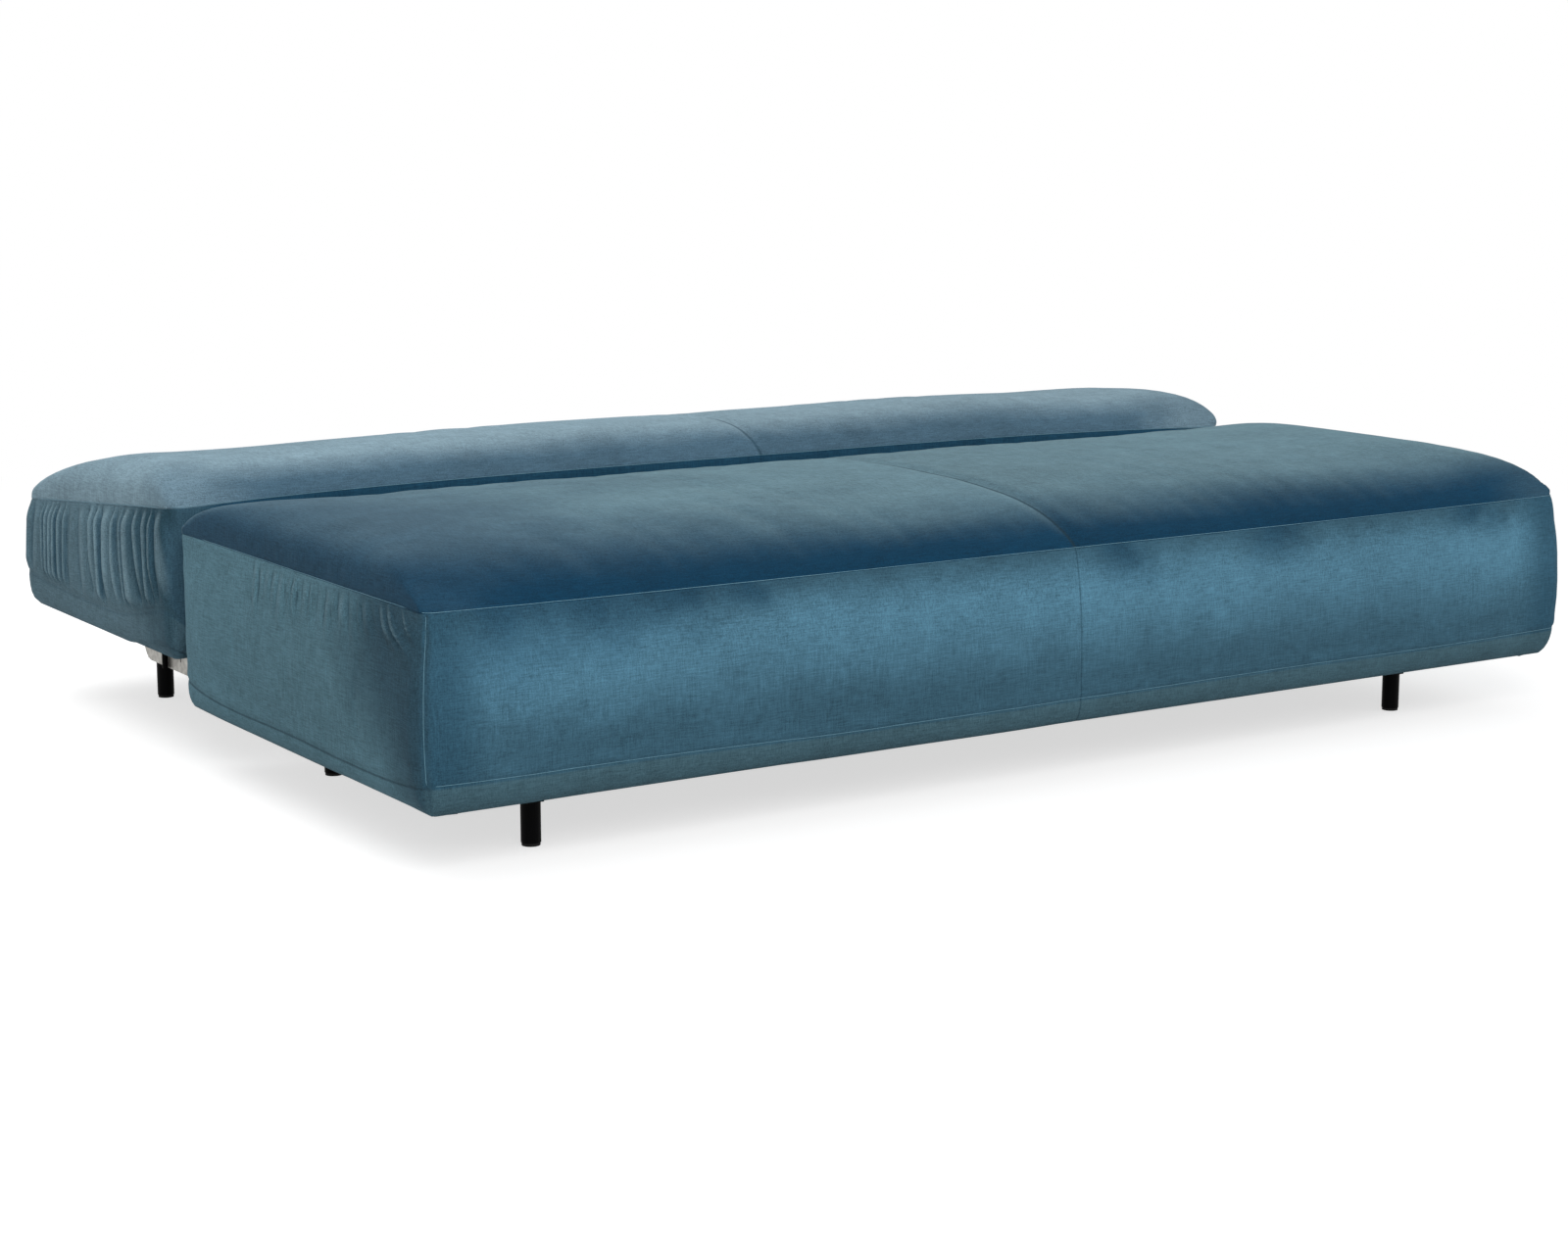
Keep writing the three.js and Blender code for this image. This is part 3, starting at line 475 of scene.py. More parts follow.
def side_rows(block, ring):
    """Rows of points from the seam to the lower edge, their distances from both seams, and their folds."""
    x, y, nx, ny, middle, side = ring
    seam = seam_height(block, y) + block.front_seam_arch * by_face(ny, nx, 1, 0, 0) * middle
    band = band_height(block, ring)
    panel = seam - lower_edge(block, ring) - band
    down = row_distances(panel, band)
    from_hem = down - panel[None, :]
    z = seam[None, :] - down
    height = seam_height(block, y) - block.bottom
    share = (z - block.bottom) / height[None, :]
    out = np.stack([side_outset(block, ring, np.clip(s, 0, 1), height) for s in share])
    depth, width = TOP_GROOVE
    out -= depth * bell(down, width)
    depth, width = HEM_GROOVE
    out -= depth * bell(from_hem, width)
    roll, above, width = HEM_ROLL
    out += roll * bell(from_hem + above, width)
    corner = block.corner_groove * bell(corner_distance(ring), CORNER_GROOVE_WIDTH)
    out -= corner[None, :] * smooth(0, 4 * MM, down)
    depth, width = CENTRE_GROOVE
    out -= (depth * bell(np.abs(x - CENTRE_SEAM_X), width) * (side % 2 == 0))[None, :]
    push, tone = end_folds(block, side[None, :], y[None, :], down)
    calm = smooth(0, 25 * MM, -from_hem)
    out += push * calm
    points = np.stack([x[None, :] + nx * out, y[None, :] + ny * out, z], -1)
    amount, length = SIDE_SWAY
    sway = waves(points, block.seed, length) * amount
    sway *= smooth(0, 50 * MM, down) * smooth(0, 40 * MM, -from_hem)
    points[..., 0] += nx * sway
    points[..., 1] += ny * sway
    return points, down, from_hem, tone * calm


# The top of a block


def patch_grid(edge):
    """Fills a closed edge of points with a grid whose border is that edge."""
    columns, rows = LONG_STEPS + 2 * HALF_CORNER, SHORT_STEPS + 2 * HALF_CORNER
    front = edge[:columns + 1]
    right = edge[columns:columns + rows + 1]
    rear = edge[columns + rows:2 * columns + rows + 1][::-1]
    left = np.concatenate([edge[2 * columns + rows:], edge[:1]])[::-1]
    u = np.linspace(0, 1, columns + 1)[None, :, None]
    v = np.linspace(0, 1, rows + 1)[:, None, None]
    grid = (1 - v) * front[None] + v * rear[None] + (1 - u) * left[:, None] + u * right[:, None]
    grid -= (1 - u) * (1 - v) * front[0] + u * (1 - v) * front[-1]
    grid -= (1 - u) * v * rear[0] + u * v * rear[-1]
    return grid


def border_index(columns, rows):
    """Grid indices of the border, in the outline's order."""
    wide = columns + 1
    front = np.arange(columns)
    right = np.arange(rows) * wide + columns
    rear = rows * wide + np.arange(columns, 0, -1)
    left = np.arange(rows, 0, -1) * wide
    return np.concatenate([front, right, rear, left])


def edge_distance(block, x, y):
    """Distance inwards from the rounded outline."""
    radius = block.corner
    dx = np.abs(x) - (HALF_LENGTH - radius)
    half = (block.rear - block.front) / 2
    dy = np.abs(y - (block.front + block.rear) / 2) - (half - radius)
    outside = np.hypot(np.maximum(dx, 0), np.maximum(dy, 0))
    return radius - outside - np.minimum(np.maximum(dx, dy), 0)


def rounding(block, distance):
    """How far the outline's corner draws an edge in, at a distance from the side beyond the corner."""
    radius = block.corner
    left = np.clip(radius - distance, 0, radius)
    return radius - np.sqrt(radius ** 2 - left ** 2)


def end_roll(block, from_end):
    """Height share and inward place of the roll at an end, which rises almost upright from its seam."""
    reach = block.end_roll
    turn = math.pi / 2 * np.clip(from_end / reach, 0, 1) ** 1.5
    place = np.where(from_end < reach, reach * (1 - np.cos(turn)), from_end)
    return np.sin(turn) ** 0.5, place


def rear_rise(block, from_rear):
    """The seat falls to its rear as it does to its front, and the back in one long round."""
    if block is SEAT:
        return fall_off(from_rear, block.rear_fall)
    return (1 - (1 - np.clip(from_rear / 0.4, 0, 1)) ** 2) ** 0.6


def stretched(block, points, share=1.0):
    """The right end may reach a little further out than the left one."""
    reach = smooth(HALF_LENGTH - 180 * MM, HALF_LENGTH - 30 * MM, points[..., 0])
    points[..., 0] += share * block.right_spare * reach
    return points


def top_rise(block, grid, from_front, from_rear, from_end, inset, lift):
    """Height of the top above its seam: the crown, its unevenness, and what the seams draw in."""
    across = fall_off(from_front, block.fall) * rear_rise(block, np.maximum(from_rear, 0))
    power = block.corner_fullness
    share = 1 - ((1 - across) ** power + (1 - np.clip(lift, 0, 1)) ** power) ** (1 / power)
    rise = block.crown * np.clip(share, 0, 1) * smooth(-2 * MM, 10 * MM, inset)
    for i, (height, length, near, far) in enumerate(TOP_SWAYS, 1):
        rise += height * waves(grid, block.seed + i, length) * smooth(near, far, inset)
    count, turn, distance, width = CORNER_FAN
    reach = np.hypot(from_front, from_end)
    spokes = np.sin(count * np.arctan2(from_front, np.maximum(from_end, SLIVER)) + turn)
    rise += block.corner_puckers * spokes * bell(reach - distance, width) * smooth(0, 4 * MM, inset)
    return rise


def top_panel(block, edge):
    """The crowned top, from its seam inwards."""
    grid = patch_grid(edge)
    x, y = grid[..., 0].copy(), grid[..., 1].copy()
    along = np.clip((x + HALF_LENGTH) / (2 * HALF_LENGTH), 0, 1)
    draw = block.seam_draw * (1 - (2 * along - 1) ** 4) * np.exp(-(y - block.front) / 0.25)
    plain_end = HALF_LENGTH - np.abs(x)
    plain_side = np.minimum(y - block.front, block.rear - y)
    from_front = y - block.front - draw - rounding(block, plain_end)
    from_rear = block.rear - y - rounding(block, plain_end)
    from_end = plain_end - rounding(block, plain_side)
    inset = edge_distance(block, x, y)
    released = smooth(0, 4 * MM, inset)
    lift, place = end_roll(block, from_end)
    outward = (from_end - place) * released
    swell = np.sin(math.pi * np.clip(from_end / (100 * MM), 0, 1))
    outward += np.where(x < 0, *block.end_swell) * swell * released
    outward *= smooth(0, 12 * MM, from_front) * smooth(0, 12 * MM, from_rear)
    push, tone = end_folds(block, np.where(x < 0, LEFT_END, RIGHT_END), y, np.maximum(from_end, 0) * 3)
    outward += block.top_gathers_share * push * released
    grid[..., 0] += np.sign(x) * outward
    rise = top_rise(block, grid, from_front, from_rear, from_end, inset, lift)
    rise -= block.left_drop * smooth(-0.1, -0.8, x) * smooth(0, 150 * MM, inset)
    for depth, width, near, far in CENTRE_VALLEYS:
        rise -= depth * bell(np.abs(x - CENTRE_SEAM_X), width) * smooth(near, far, inset)
    grid[..., 2] += rise
    return grid, inset, block.top_gathers_share * tone * released


def skin(block):
    """All rows of the outer skin, with what the cloth's colour needs at each point."""
    cloth = SimpleNamespace(ring=outline(block))
    cloth.rows, cloth.down, cloth.from_hem, cloth.tone = side_rows(block, cloth.ring)
    cloth.grid, cloth.inset, cloth.top_tone = top_panel(block, cloth.rows[0])
    stretched(block, cloth.rows)
    stretched(block, cloth.grid)
    return cloth


# Meshes


def add_mesh(name, points, faces, smooth_shading=True):
    mesh = bpy.data.meshes.new(name)
    mesh.from_pydata([tuple(p) for p in points], [], faces)
    mesh.validate()
    mesh.polygons.foreach_set("use_smooth", [smooth_shading] * len(mesh.polygons))
    piece = bpy.data.objects.new(name, mesh)
    bpy.context.scene.collection.objects.link(piece)
    return piece


def apply_modifiers(piece):
    depsgraph = bpy.context.evaluated_depsgraph_get()
    mesh = bpy.data.meshes.new_from_object(piece.evaluated_get(depsgraph))
    piece.modifiers.clear()
    piece.data = mesh


def grid_faces(lines, columns):
    """Faces of a grid whose points follow each other row by row."""
    wide = columns + 1
    cell = (np.arange(lines)[:, None] * wide + np.arange(columns)[None, :]).ravel()
    return np.stack([cell, cell + 1, cell + 1 + wide, cell + wide], -1)


def band_faces(closed_rows):
    """Faces between each closed row of points and the next, and one that closes the last row."""
    faces = []
    for first, second in zip(closed_rows, closed_rows[1:]):
        faces += np.stack([first, second, np.roll(second, -1), np.roll(first, -1)], -1).tolist()
    return faces + [closed_rows[-1][::-1].tolist()]


# Cloth simulation


def cloth_shift(name, points, faces, held):
    """Runs cloth over a closed coarse skin held at its seams, and returns how far each point moves."""
    piece = add_mesh(name, points, faces)
    group = piece.vertex_groups.new(name="held")
    group.add([int(i) for i in held], 1.0, "REPLACE")
    cloth = piece.modifiers.new("cloth", "CLOTH")
    settings = cloth.settings
    settings.quality = 4
    settings.mass = 0.25
    settings.tension_stiffness = 12
    settings.compression_stiffness = 12
    settings.shear_stiffness = 4
    settings.bending_stiffness = 0.15
    settings.use_pressure = True
    settings.uniform_pressure_force = 4
    settings.vertex_group_mass = "held"
    settings.shrink_min = -CLOTH_SPARE
    settings.effector_weights.gravity = 0
    for i in range(1, CLOTH_FRAMES + 1):
        bpy.context.scene.frame_set(i)
    mesh = piece.evaluated_get(bpy.context.evaluated_depsgraph_get()).to_mesh()
    moved = np.empty(3 * len(mesh.vertices))
    mesh.vertices.foreach_get("co", moved)
    bpy.context.scene.frame_set(1)
    bpy.data.objects.remove(piece)
    return moved.reshape(-1, 3) - points


def without_bulk(shift):
    """Keeps a share of the small folds without the swelling, and caps how far a point may move."""
    bulk = blurred(blurred(shift, 0, 60), 1, 60)
    kept = CLOTH_KEPT * (shift - bulk)
    reach = np.linalg.norm(kept, axis=-1, keepdims=True)
    return kept * np.minimum(1, CLOTH_CAP / np.maximum(reach, 1e-9))


def hem_row(cloth):
    return int(np.argmin(np.abs(cloth.from_hem).sum(1)))


def settle(block, cloth):
    """Cloth under pressure, with a little spare width, puckers the skin between its seams."""
    depth = cloth.down.mean(1)
    marks = np.linspace(0, depth[hem_row(cloth)], CLOTH_LEVELS)
    levels = sorted({int(np.argmin(np.abs(depth - mark))) for mark in marks})
    levels.append(len(cloth.rows) - 1)
    top = cloth.grid[::CLOTH_STEP, ::CLOTH_STEP]
    lines, columns = top.shape[0] - 1, top.shape[1] - 1
    top_count = top.shape[0] * top.shape[1]
    sides = cloth.rows[levels][:, ::CLOTH_STEP]
    count = sides.shape[1]
    points = np.concatenate([top.reshape(-1, 3), sides[1:].reshape(-1, 3)])
    border = border_index(columns, lines)
    closed_rows = [border]
    for level in range(1, len(levels)):
        closed_rows.append(top_count + (level - 1) * count + np.arange(count))
    faces = grid_faces(lines, columns).tolist() + band_faces(closed_rows)
    held = np.concatenate([border, *closed_rows[-2:]])
    shift = cloth_shift(block.name + "_cloth", points, faces, held)
    top_shift = without_bulk(shift[:top_count].reshape(top.shape))
    side_shift = np.concatenate([shift[border][None], shift[top_count:].reshape(-1, count, 3)])
    side_shift = without_bulk(side_shift)
    fine = between(top_shift, np.arange(cloth.grid.shape[0]) / CLOTH_STEP, 0)
    fine = between(fine, np.arange(cloth.grid.shape[1]) / CLOTH_STEP, 1)
    fine = blurred(blurred(fine, 0, 3), 1, 3)
    cloth.grid = cloth.grid + fine * smooth(4 * MM, 60 * MM, cloth.inset)[..., None]
    looped = np.concatenate([side_shift, side_shift[:, :1]], 1)
    fine = between(looped, np.arange(cloth.rows.shape[1]) / CLOTH_STEP, 1)
    fine = between(fine, np.interp(np.arange(len(cloth.rows)), levels, np.arange(len(levels))), 0)
    fine = blurred(blurred(fine, 1, 3, wrap=True), 0, 2)
    calm = smooth(4 * MM, 40 * MM, cloth.down) * smooth(2 * MM, 30 * MM, -cloth.from_hem)
    cloth.rows = cloth.rows + fine * calm[..., None]


# The padded blocks


def inner_rows(block, cloth):
    """Rows from the lower edge inwards under the hem, then up behind the sides to the foam's underside."""
    ring, low, bottom = cloth.ring, cloth.rows[-1][:, 2], block.bottom
    height = seam_height(block, ring[1]) - bottom
    base = side_outset(block, ring, 0 * ring[0], height)
    rows = []
    for i in range(1, RETURN_ROWS + 1):
        z = low + (bottom - low) * math.sqrt(i / RETURN_ROWS)
        rows.append(ring_row(ring, base - HEM_RETURN * i / RETURN_ROWS, z))
    lift = bottom + FABRIC
    rows.append(ring_row(ring, base - HEM_RETURN, 0 * base + lift))
    for share in WALL_ROWS:
        z = lift + (block.cap - lift) * share
        out = side_outset(block, ring, (z - bottom) / height, height) - WALL_THICK
        rows.append(ring_row(ring, out, 0 * out + z))
    return [stretched(block, row, max(0, 1 - (i + 1) / RETURN_ROWS)) for i, row in enumerate(rows)]


def cushion(block, cloth):
    """The padded block: crowned top, sides, hem, and the foam's flat underside inside the hem."""
    inner = inner_rows(block, cloth)
    unseen = np.ones((len(inner), cloth.rows.shape[1]))
    fields = {
        "panel": (np.ones(cloth.inset.size), np.where(cloth.from_hem[1:] > SLIVER, -1.0, 0.0), -unseen),
        "below_seam": (-cloth.inset, cloth.down[1:], UNSEEN_DEPTH * unseen),
        # The fold tone, for painted highlights on crests and painted shade in valleys
        "fold": (cloth.top_tone, cloth.tone[1:], 0 * unseen),
    }
    points = [cloth.grid.reshape(-1, 3), *cloth.rows[1:], *inner]
    lines, columns = cloth.grid.shape[0] - 1, cloth.grid.shape[1] - 1
    closed_rows = [border_index(columns, lines)]
    start = len(points[0])
    for row in points[1:]:
        closed_rows.append(np.arange(start, start + len(row)))
        start += len(row)
    faces = grid_faces(lines, columns).tolist() + band_faces(closed_rows)
    piece = add_mesh(block.name + "_cushion", np.concatenate(points), faces)
    piece.data.materials.append(MATERIALS[block.name + "_velvet"])
    for name, values in fields.items():
        attribute = piece.data.attributes.new(name, "FLOAT", "POINT")
        flat = np.concatenate([part.ravel() for part in values])
        attribute.data.foreach_set("value", flat.astype(np.float32))
    return piece


def cut_hinge_slots(piece):
    slot = HINGE_SLOTS
    ahead = BACK.front - 60 * MM
    inside = BACK.front + slot.behind_cover
    profile = [
        (ahead, slot.low),
        (slot.rear, slot.low),
        (slot.rear, slot.foam_top),
        (inside, slot.foam_top),
        (inside, slot.cover_top),
        (ahead, slot.cover_top),
    ]
    points, faces = [], []
    for sign in (-1, 1):
        near = len(points) + np.arange(len(profile))
        far = near + len(profile)
        for x in sorted(sign * v for v in slot.x):
            points += [(x, y, z) for y, z in profile]
        faces += [near[::-1].tolist(), far.tolist()]
        faces += np.stack([near, np.roll(near, -1), np.roll(far, -1), far], -1).tolist()
    cutter = add_mesh("slot_cutter", points, faces, False)
    cut = piece.modifiers.new("slots", "BOOLEAN")
    cut.operation = "DIFFERENCE"
    cut.object = cutter
    cut.solver = "MANIFOLD"
    apply_modifiers(piece)
    bpy.data.objects.remove(cutter)


def tube(path, radius, closed):
    """Points and faces of a thread of round section along a path."""
    path = np.asarray(path, float)
    ahead = np.roll(path, -1, 0) - np.roll(path, 1, 0)
    if not closed:
        ahead[0], ahead[-1] = path[1] - path[0], path[-1] - path[-2]
    ahead /= np.linalg.norm(ahead, axis=1)[:, None]
    up = np.where(np.abs(ahead[:, 2:3]) > 0.8, [[1.0, 0, 0]], [[0, 0, 1.0]])
    across = np.cross(ahead, up)
    across /= np.linalg.norm(across, axis=1)[:, None]
    above = np.cross(across, ahead)
    angles = np.arange(THREAD_SIDES)[None, :, None] * TAU / THREAD_SIDES
    section = np.cos(angles) * across[:, None] + np.sin(angles) * above[:, None]
    points = path[:, None] + radius * section
    faces = []
    count = len(path)
    for i in range(count if closed else count - 1):
        first, second = i * THREAD_SIDES, (i + 1) % count * THREAD_SIDES
        for k in range(THREAD_SIDES):
            n = (k + 1) % THREAD_SIDES
            faces.append((first + k, first + n, second + n, second + k))
    if not closed:
        faces.append(list(range(THREAD_SIDES))[::-1])
        faces.append([(count - 1) * THREAD_SIDES + k for k in range(THREAD_SIDES)])
    return points.reshape(-1, 3), faces


def thread_paths(block, cloth):
    """Paths of the sewing lines, which dip into their grooves here and there, and whether each is closed."""
    ring, rows = cloth.ring, cloth.rows
    outward = np.stack([ring[2], ring[3], 0 * ring[2]], -1)
    dip = 0.35 * MM * (1 + waves(rows[0], block.seed + 6, 70 * MM))
    sunk = np.where(corner_distance(ring) < 100 * MM, 0.5 * MM, 0)
    above = block.thread_out - dip - sunk
    paths = [(rows[0] + above[:, None] * outward + np.array([0, 0, THREAD_RADIUS]), True)]
    if block.hem_thread:
        columns = cloth.grid.shape[1] - 1
        front = slice(4, columns - 4)
        hem = hem_row(cloth)
        dip = 0.3 * MM * waves(rows[hem], block.seed + 7, 60 * MM)
        line = rows[hem] + (0.6 * MM - dip)[:, None] * outward
        paths.append((line[front], False))
        for corner in (0, columns):
            upright = rows[2:hem, corner]
            dip = 0.3 * MM * waves(upright, block.seed + 8, 30 * MM)
            paths.append((upright - dip[:, None] * outward[corner], False))
    return paths


def add_threads(block, cloth):
    """The sewing line along each seam, its light colour partly a painted highlight on the seam's edge."""
    points, faces, start = [], [], 0
    for path, closed in thread_paths(block, cloth):
        p, f = tube(path, THREAD_RADIUS, closed)
        points.append(p)
        faces += [[v + start for v in face] for face in f]
        start += len(p)
    piece = add_mesh(block.name + "_seam_thread", np.concatenate(points), faces)
    piece.data.materials.append(MATERIALS["thread"])
    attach(piece, block.name)


def make_block(block):
    cloth = skin(block)
    settle(block, cloth)
    piece = cushion(block, cloth)
    if block.hinge_slots:
        cut_hinge_slots(piece)
    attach(piece, block.name)
    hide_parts(*block.replaces)
    add_threads(block, cloth)


# Linings


def lining_lines(low, high, cuts):
    """Grid lines from low to high, about a step apart, with a line on every cut."""
    marks = [low, *sorted(cuts), high]
    lines = [low]
    for a, b in zip(marks, marks[1:]):
        count = max(1, round((b - a) / LINING_STEP))
        lines += [a + (b - a) * i / count for i in range(1, count + 1)]
    return np.array(lines)


def hanging(x, y, low, high, boards, free, seed):
    """How far a lining hangs down between its edges and the boards that hold it up."""
    held = np.minimum(np.minimum(x - low[0], high[0] - x), np.minimum(y - low[1], high[1] - y))
    for board in boards:
        held = np.minimum(held, np.abs(np.abs(x) - board))
    slack = smooth(0, 160 * MM, held) * np.where(np.abs(x) < free, 1, 0.15)
    points = np.stack([x, y, 0 * x + high[2]], -1)
    wrinkle = 0.7 * MM * waves(points, seed, 90 * MM) * smooth(4 * MM, 50 * MM, held) * (np.abs(x) < free)
    return LINING_SAG * slack + np.abs(wrinkle)


def lining(name, body, replaced, slots, boards, free, seed):
    """A thin cloth stapled under the frame's boards, with slots for what passes through it."""
    low, high = (np.array(corner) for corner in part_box(replaced))
    xs = lining_lines(low[0], high[0], {v for slot in slots for v in slot[:2]})
    ys = lining_lines(low[1], high[1], {v for slot in slots for v in slot[2:] if low[1] < v < high[1]})
    x, y = np.meshgrid(xs, ys)
    z = high[2] - (LINING_THICK + hanging(x, y, low, high, boards, free, seed))
    middle_x = (x[:-1, :-1] + x[1:, 1:]) / 2
    middle_y = (y[:-1, :-1] + y[1:, 1:]) / 2
    kept = np.ones(middle_x.shape, bool)
    for x0, x1, y0, y1 in slots:
        kept &= ~((middle_x > x0) & (middle_x < x1) & (middle_y > y0) & (middle_y < y1))
    faces = grid_faces(len(ys) - 1, len(xs) - 1)[kept.ravel()]
    used, compact = np.unique(faces, return_inverse=True)
    points = np.stack([x, y, z], -1).reshape(-1, 3)[used]
    piece = add_mesh(name, points, compact.reshape(faces.shape).tolist())
    solid = piece.modifiers.new("cloth thickness", "SOLIDIFY")
    solid.thickness = LINING_THICK
    solid.offset = 1
    apply_modifiers(piece)
    piece.data.materials.append(MATERIALS["lining"])
    cut = float(sum((x1 - x0) * (y1 - y0) for x0, x1, y0, y1 in slots))
    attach(piece, body)
    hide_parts(replaced)


def both_sides(x, y):
    """A slot at a place and its mirror image."""
    return [(-x[1], -x[0], *y), (*x, *y)]


def make_linings():
    slots = both_sides(BEARER_FEET["x"], BEARER_FEET["y"])
    lining("seat_underlining", "seat", "seat_lining", slots, SEAT_LINING_BOARDS, SEAT_LINING_FREE, 51)
    slots = both_sides(HINGE_SLOTS.x, (LINING_SLOT_FRONT, HINGE_SLOTS.rear))
    lining("back_underlining", "back", "back_lining", slots, BACK_LINING_BOARDS, BACK_LINING_FREE, 52)


# Materials


class Value:
    """A socket of a material's tree, so that sums of sockets and numbers read as plain arithmetic."""

    def __init__(self, tree, socket):
        self.tree, self.socket = tree, socket

    def maths(self, operation, *others):
        inputs = dict(enumerate((self, *others)))
        return Value(self.tree, new_node(self.tree, "ShaderNodeMath", inputs, operation=operation).outputs[0])

    def __add__(self, other):
        return self.maths("ADD", other)

    def __sub__(self, other):
        return self.maths("SUBTRACT", other)

    def __rsub__(self, other):
        return self * -1.0 + other

    def __mul__(self, other):
        return self.maths("MULTIPLY", other)

    def __truediv__(self, other):
        return self.maths("DIVIDE", other)

    def __abs__(self):
        return self.maths("ABSOLUTE")

    def length(self):
        made = new_node(self.tree, "ShaderNodeVectorMath", {0: self}, operation="LENGTH")
        return Value(self.tree, made.outputs["Value"])

    def apart(self):
        made = new_node(self.tree, "ShaderNodeSeparateXYZ", {0: self})
        return [Value(self.tree, socket) for socket in made.outputs]

    def ramp(self, low, high, to_low=0.0, to_high=1.0):
        inputs = {"Value": self, "From Min": low, "From Max": high, "To Min": to_low, "To Max": to_high}
        made = new_node(self.tree, "ShaderNodeMapRange", inputs, interpolation_type="SMOOTHSTEP")
        return Value(self.tree, made.outputs["Result"])

    def noise(self, scale, detail=2.0, rough=0.5, stretch=None):
        place = self
        if stretch is not None:
            place = new_node(self.tree, "ShaderNodeMapping", {"Vector": self, "Scale": stretch}).outputs[0]
        inputs = {"Vector": place, "Scale": scale, "Detail": detail, "Roughness": rough}
        return Value(self.tree, new_node(self.tree, "ShaderNodeTexNoise", inputs).outputs["Fac"])

    def mixed(self, first, second):
        """The first colour where this value is zero, and the second where it is one."""
        return mixed_colours(self, first, second, "MIX", self.tree)


def mixed_colours(share, first, second, blend, tree):
    inputs = {0: share, 6: first, 7: second}
    made = new_node(tree, "ShaderNodeMix", inputs, data_type="RGBA", blend_type=blend)
    return Value(tree, made.outputs[2])


def link(tree, value, socket):
    if isinstance(value, Value):
        value = value.socket
    if isinstance(value, bpy.types.NodeSocket):
        tree.links.new(value, socket)
    else:
        socket.default_value = value


def new_node(tree, kind, inputs=None, **settings):
    made = tree.nodes.new(kind)
    for key, value in settings.items():
        setattr(made, key, value)
    for key, value in (inputs or {}).items():
        link(tree, value, made.inputs[key])
    return made


def combined(tree, x, y, z=0.0):
    return Value(tree, new_node(tree, "ShaderNodeCombineXYZ", {0: x, 1: y, 2: z}).outputs[0])


def seen_directly(tree):
    """One where a ray comes from the camera, a reflection or a clear piece, and else zero."""
    path = new_node(tree, "ShaderNodeLightPath").outputs
    kinds = [Value(tree, path[f"Is {kind} Ray"]) for kind in ("Camera", "Glossy", "Transmission")]
    return kinds[0].maths("MAXIMUM", kinds[1]).maths("MAXIMUM", kinds[2])


def new_material(name):
    material = bpy.data.materials.new(name)
    material.use_nodes = True
    tree = material.node_tree
    return material, tree, tree.nodes["Principled BSDF"]


def colour(code):
    """A linear colour from an sRGB one written as in a paint chart."""
    parts = [int(code[i:i + 2], 16) / 255 for i in (1, 3, 5)]
    return (*[p / 12.92 if p <= 0.04045 else ((p + 0.055) / 1.055) ** 2.4 for p in parts], 1.0)


def velvet_fields(tree):
    """What the tones depend on: place, direction, panel, folds, and two soft patterns of brushing."""
    cloth = SimpleNamespace()
    place = new_node(tree, "ShaderNodeTexCoord").outputs
    cloth.where = Value(tree, place["Object"])
    cloth.nx, cloth.ny, _ = Value(tree, place["Normal"]).apart()
    cloth.px, cloth.py, _ = cloth.where.apart()
    for name in ("panel", "below_seam", "fold"):
        attribute = new_node(tree, "ShaderNodeAttribute", attribute_name=name)
        setattr(cloth, name, Value(tree, attribute.outputs["Fac"]))
    cloth.top = cloth.panel.ramp(0.45, 0.55)
    cloth.hem = cloth.panel.ramp(-0.9, -0.3, 1.0, 0.0)
    cloth.facing_end = abs(cloth.nx).ramp(0.45, 0.9)
    cloth.right_of_seam = cloth.px - CENTRE_SEAM_X
    cloth.from_centre = abs(cloth.right_of_seam)
    cloth.brush = cloth.where.noise(9.0, 3.0, 0.55, (1.0, 1.6, 1.0)) - 0.5
    cloth.sweep = cloth.where.noise(2.6, 4.0, 0.55, (1.0, 1.5, 1.0)) - 0.5
    return cloth


def top_tint(tree, cloth, tones):
    """Painted sheen of the top: lighter where it lies flat, painted dark on its slopes to the front and left.
    """
    tilt = cloth.ny * -0.92 + cloth.nx * -tones.left_lean + cloth.brush * 0.10
    depth = tilt.ramp(tones.lean_from, 0.50) * tones.front_depth
    # In the front corners the painted sheen evens out to one depth
    reach = combined(tree, HALF_LENGTH - abs(cloth.px), cloth.py - tones.front).length()
    reach = reach + cloth.brush * 0.12
    worked = reach.ramp(30 * MM, 170 * MM, 0.85, 0.0)
    depth = new_node(tree, "ShaderNodeMix", {0: worked, 2: depth, 3: tones.corner_depth}).outputs[0]
    depth = Value(tree, depth)
    # Painted shade of the velvet's sheen over the left part of the top
    drift = cloth.px + cloth.sweep * 0.9 + cloth.py * 0.25
    shade = drift.ramp(-0.30, -1.05) * tones.shade_strength
    return depth.mixed(shade.mixed(tones.light, tones.shade), tones.deep)


def front_tint(cloth, tones):
    """Painted light and shade of the front: lighter upper half, darker strokes under its seam, shaded
    corners.
    """
    drop = cloth.below_seam + cloth.brush * 0.05
    # Painted light on the upper half of the front
    upper = drop.ramp(-10 * MM, 60 * MM) * drop.ramp(70 * MM, 200 * MM, 1.0, 0.1)
    tint = upper.mixed(tones.low, tones.upper)
    for centre, width, reach in tones.strokes:
        aside = abs(cloth.px - centre + cloth.brush * 0.2)
        stroke = aside.ramp(0.0, width, 0.55, 0.0) * drop.ramp(10 * MM, reach, 1.0, 0.0)
        tint = stroke.mixed(tint, tones.deep)
    # Painted shade beside the front corners
    beside = abs(cloth.px + cloth.sweep * 0.05).ramp(920 * MM, 1010 * MM)
    tint = (beside * 0.85).mixed(tint, tones.corner)
    # Painted shade on the back's front face, which lies in shadow behind the seat, stopping short of its ends
    ahead = cloth.ny.ramp(-0.3, -0.8) * tones.ahead_strength
    ahead = ahead * abs(cloth.px).ramp(940 * MM, 990 * MM, 1.0, 0.0)
    return ahead.mixed(tint, tones.deep)


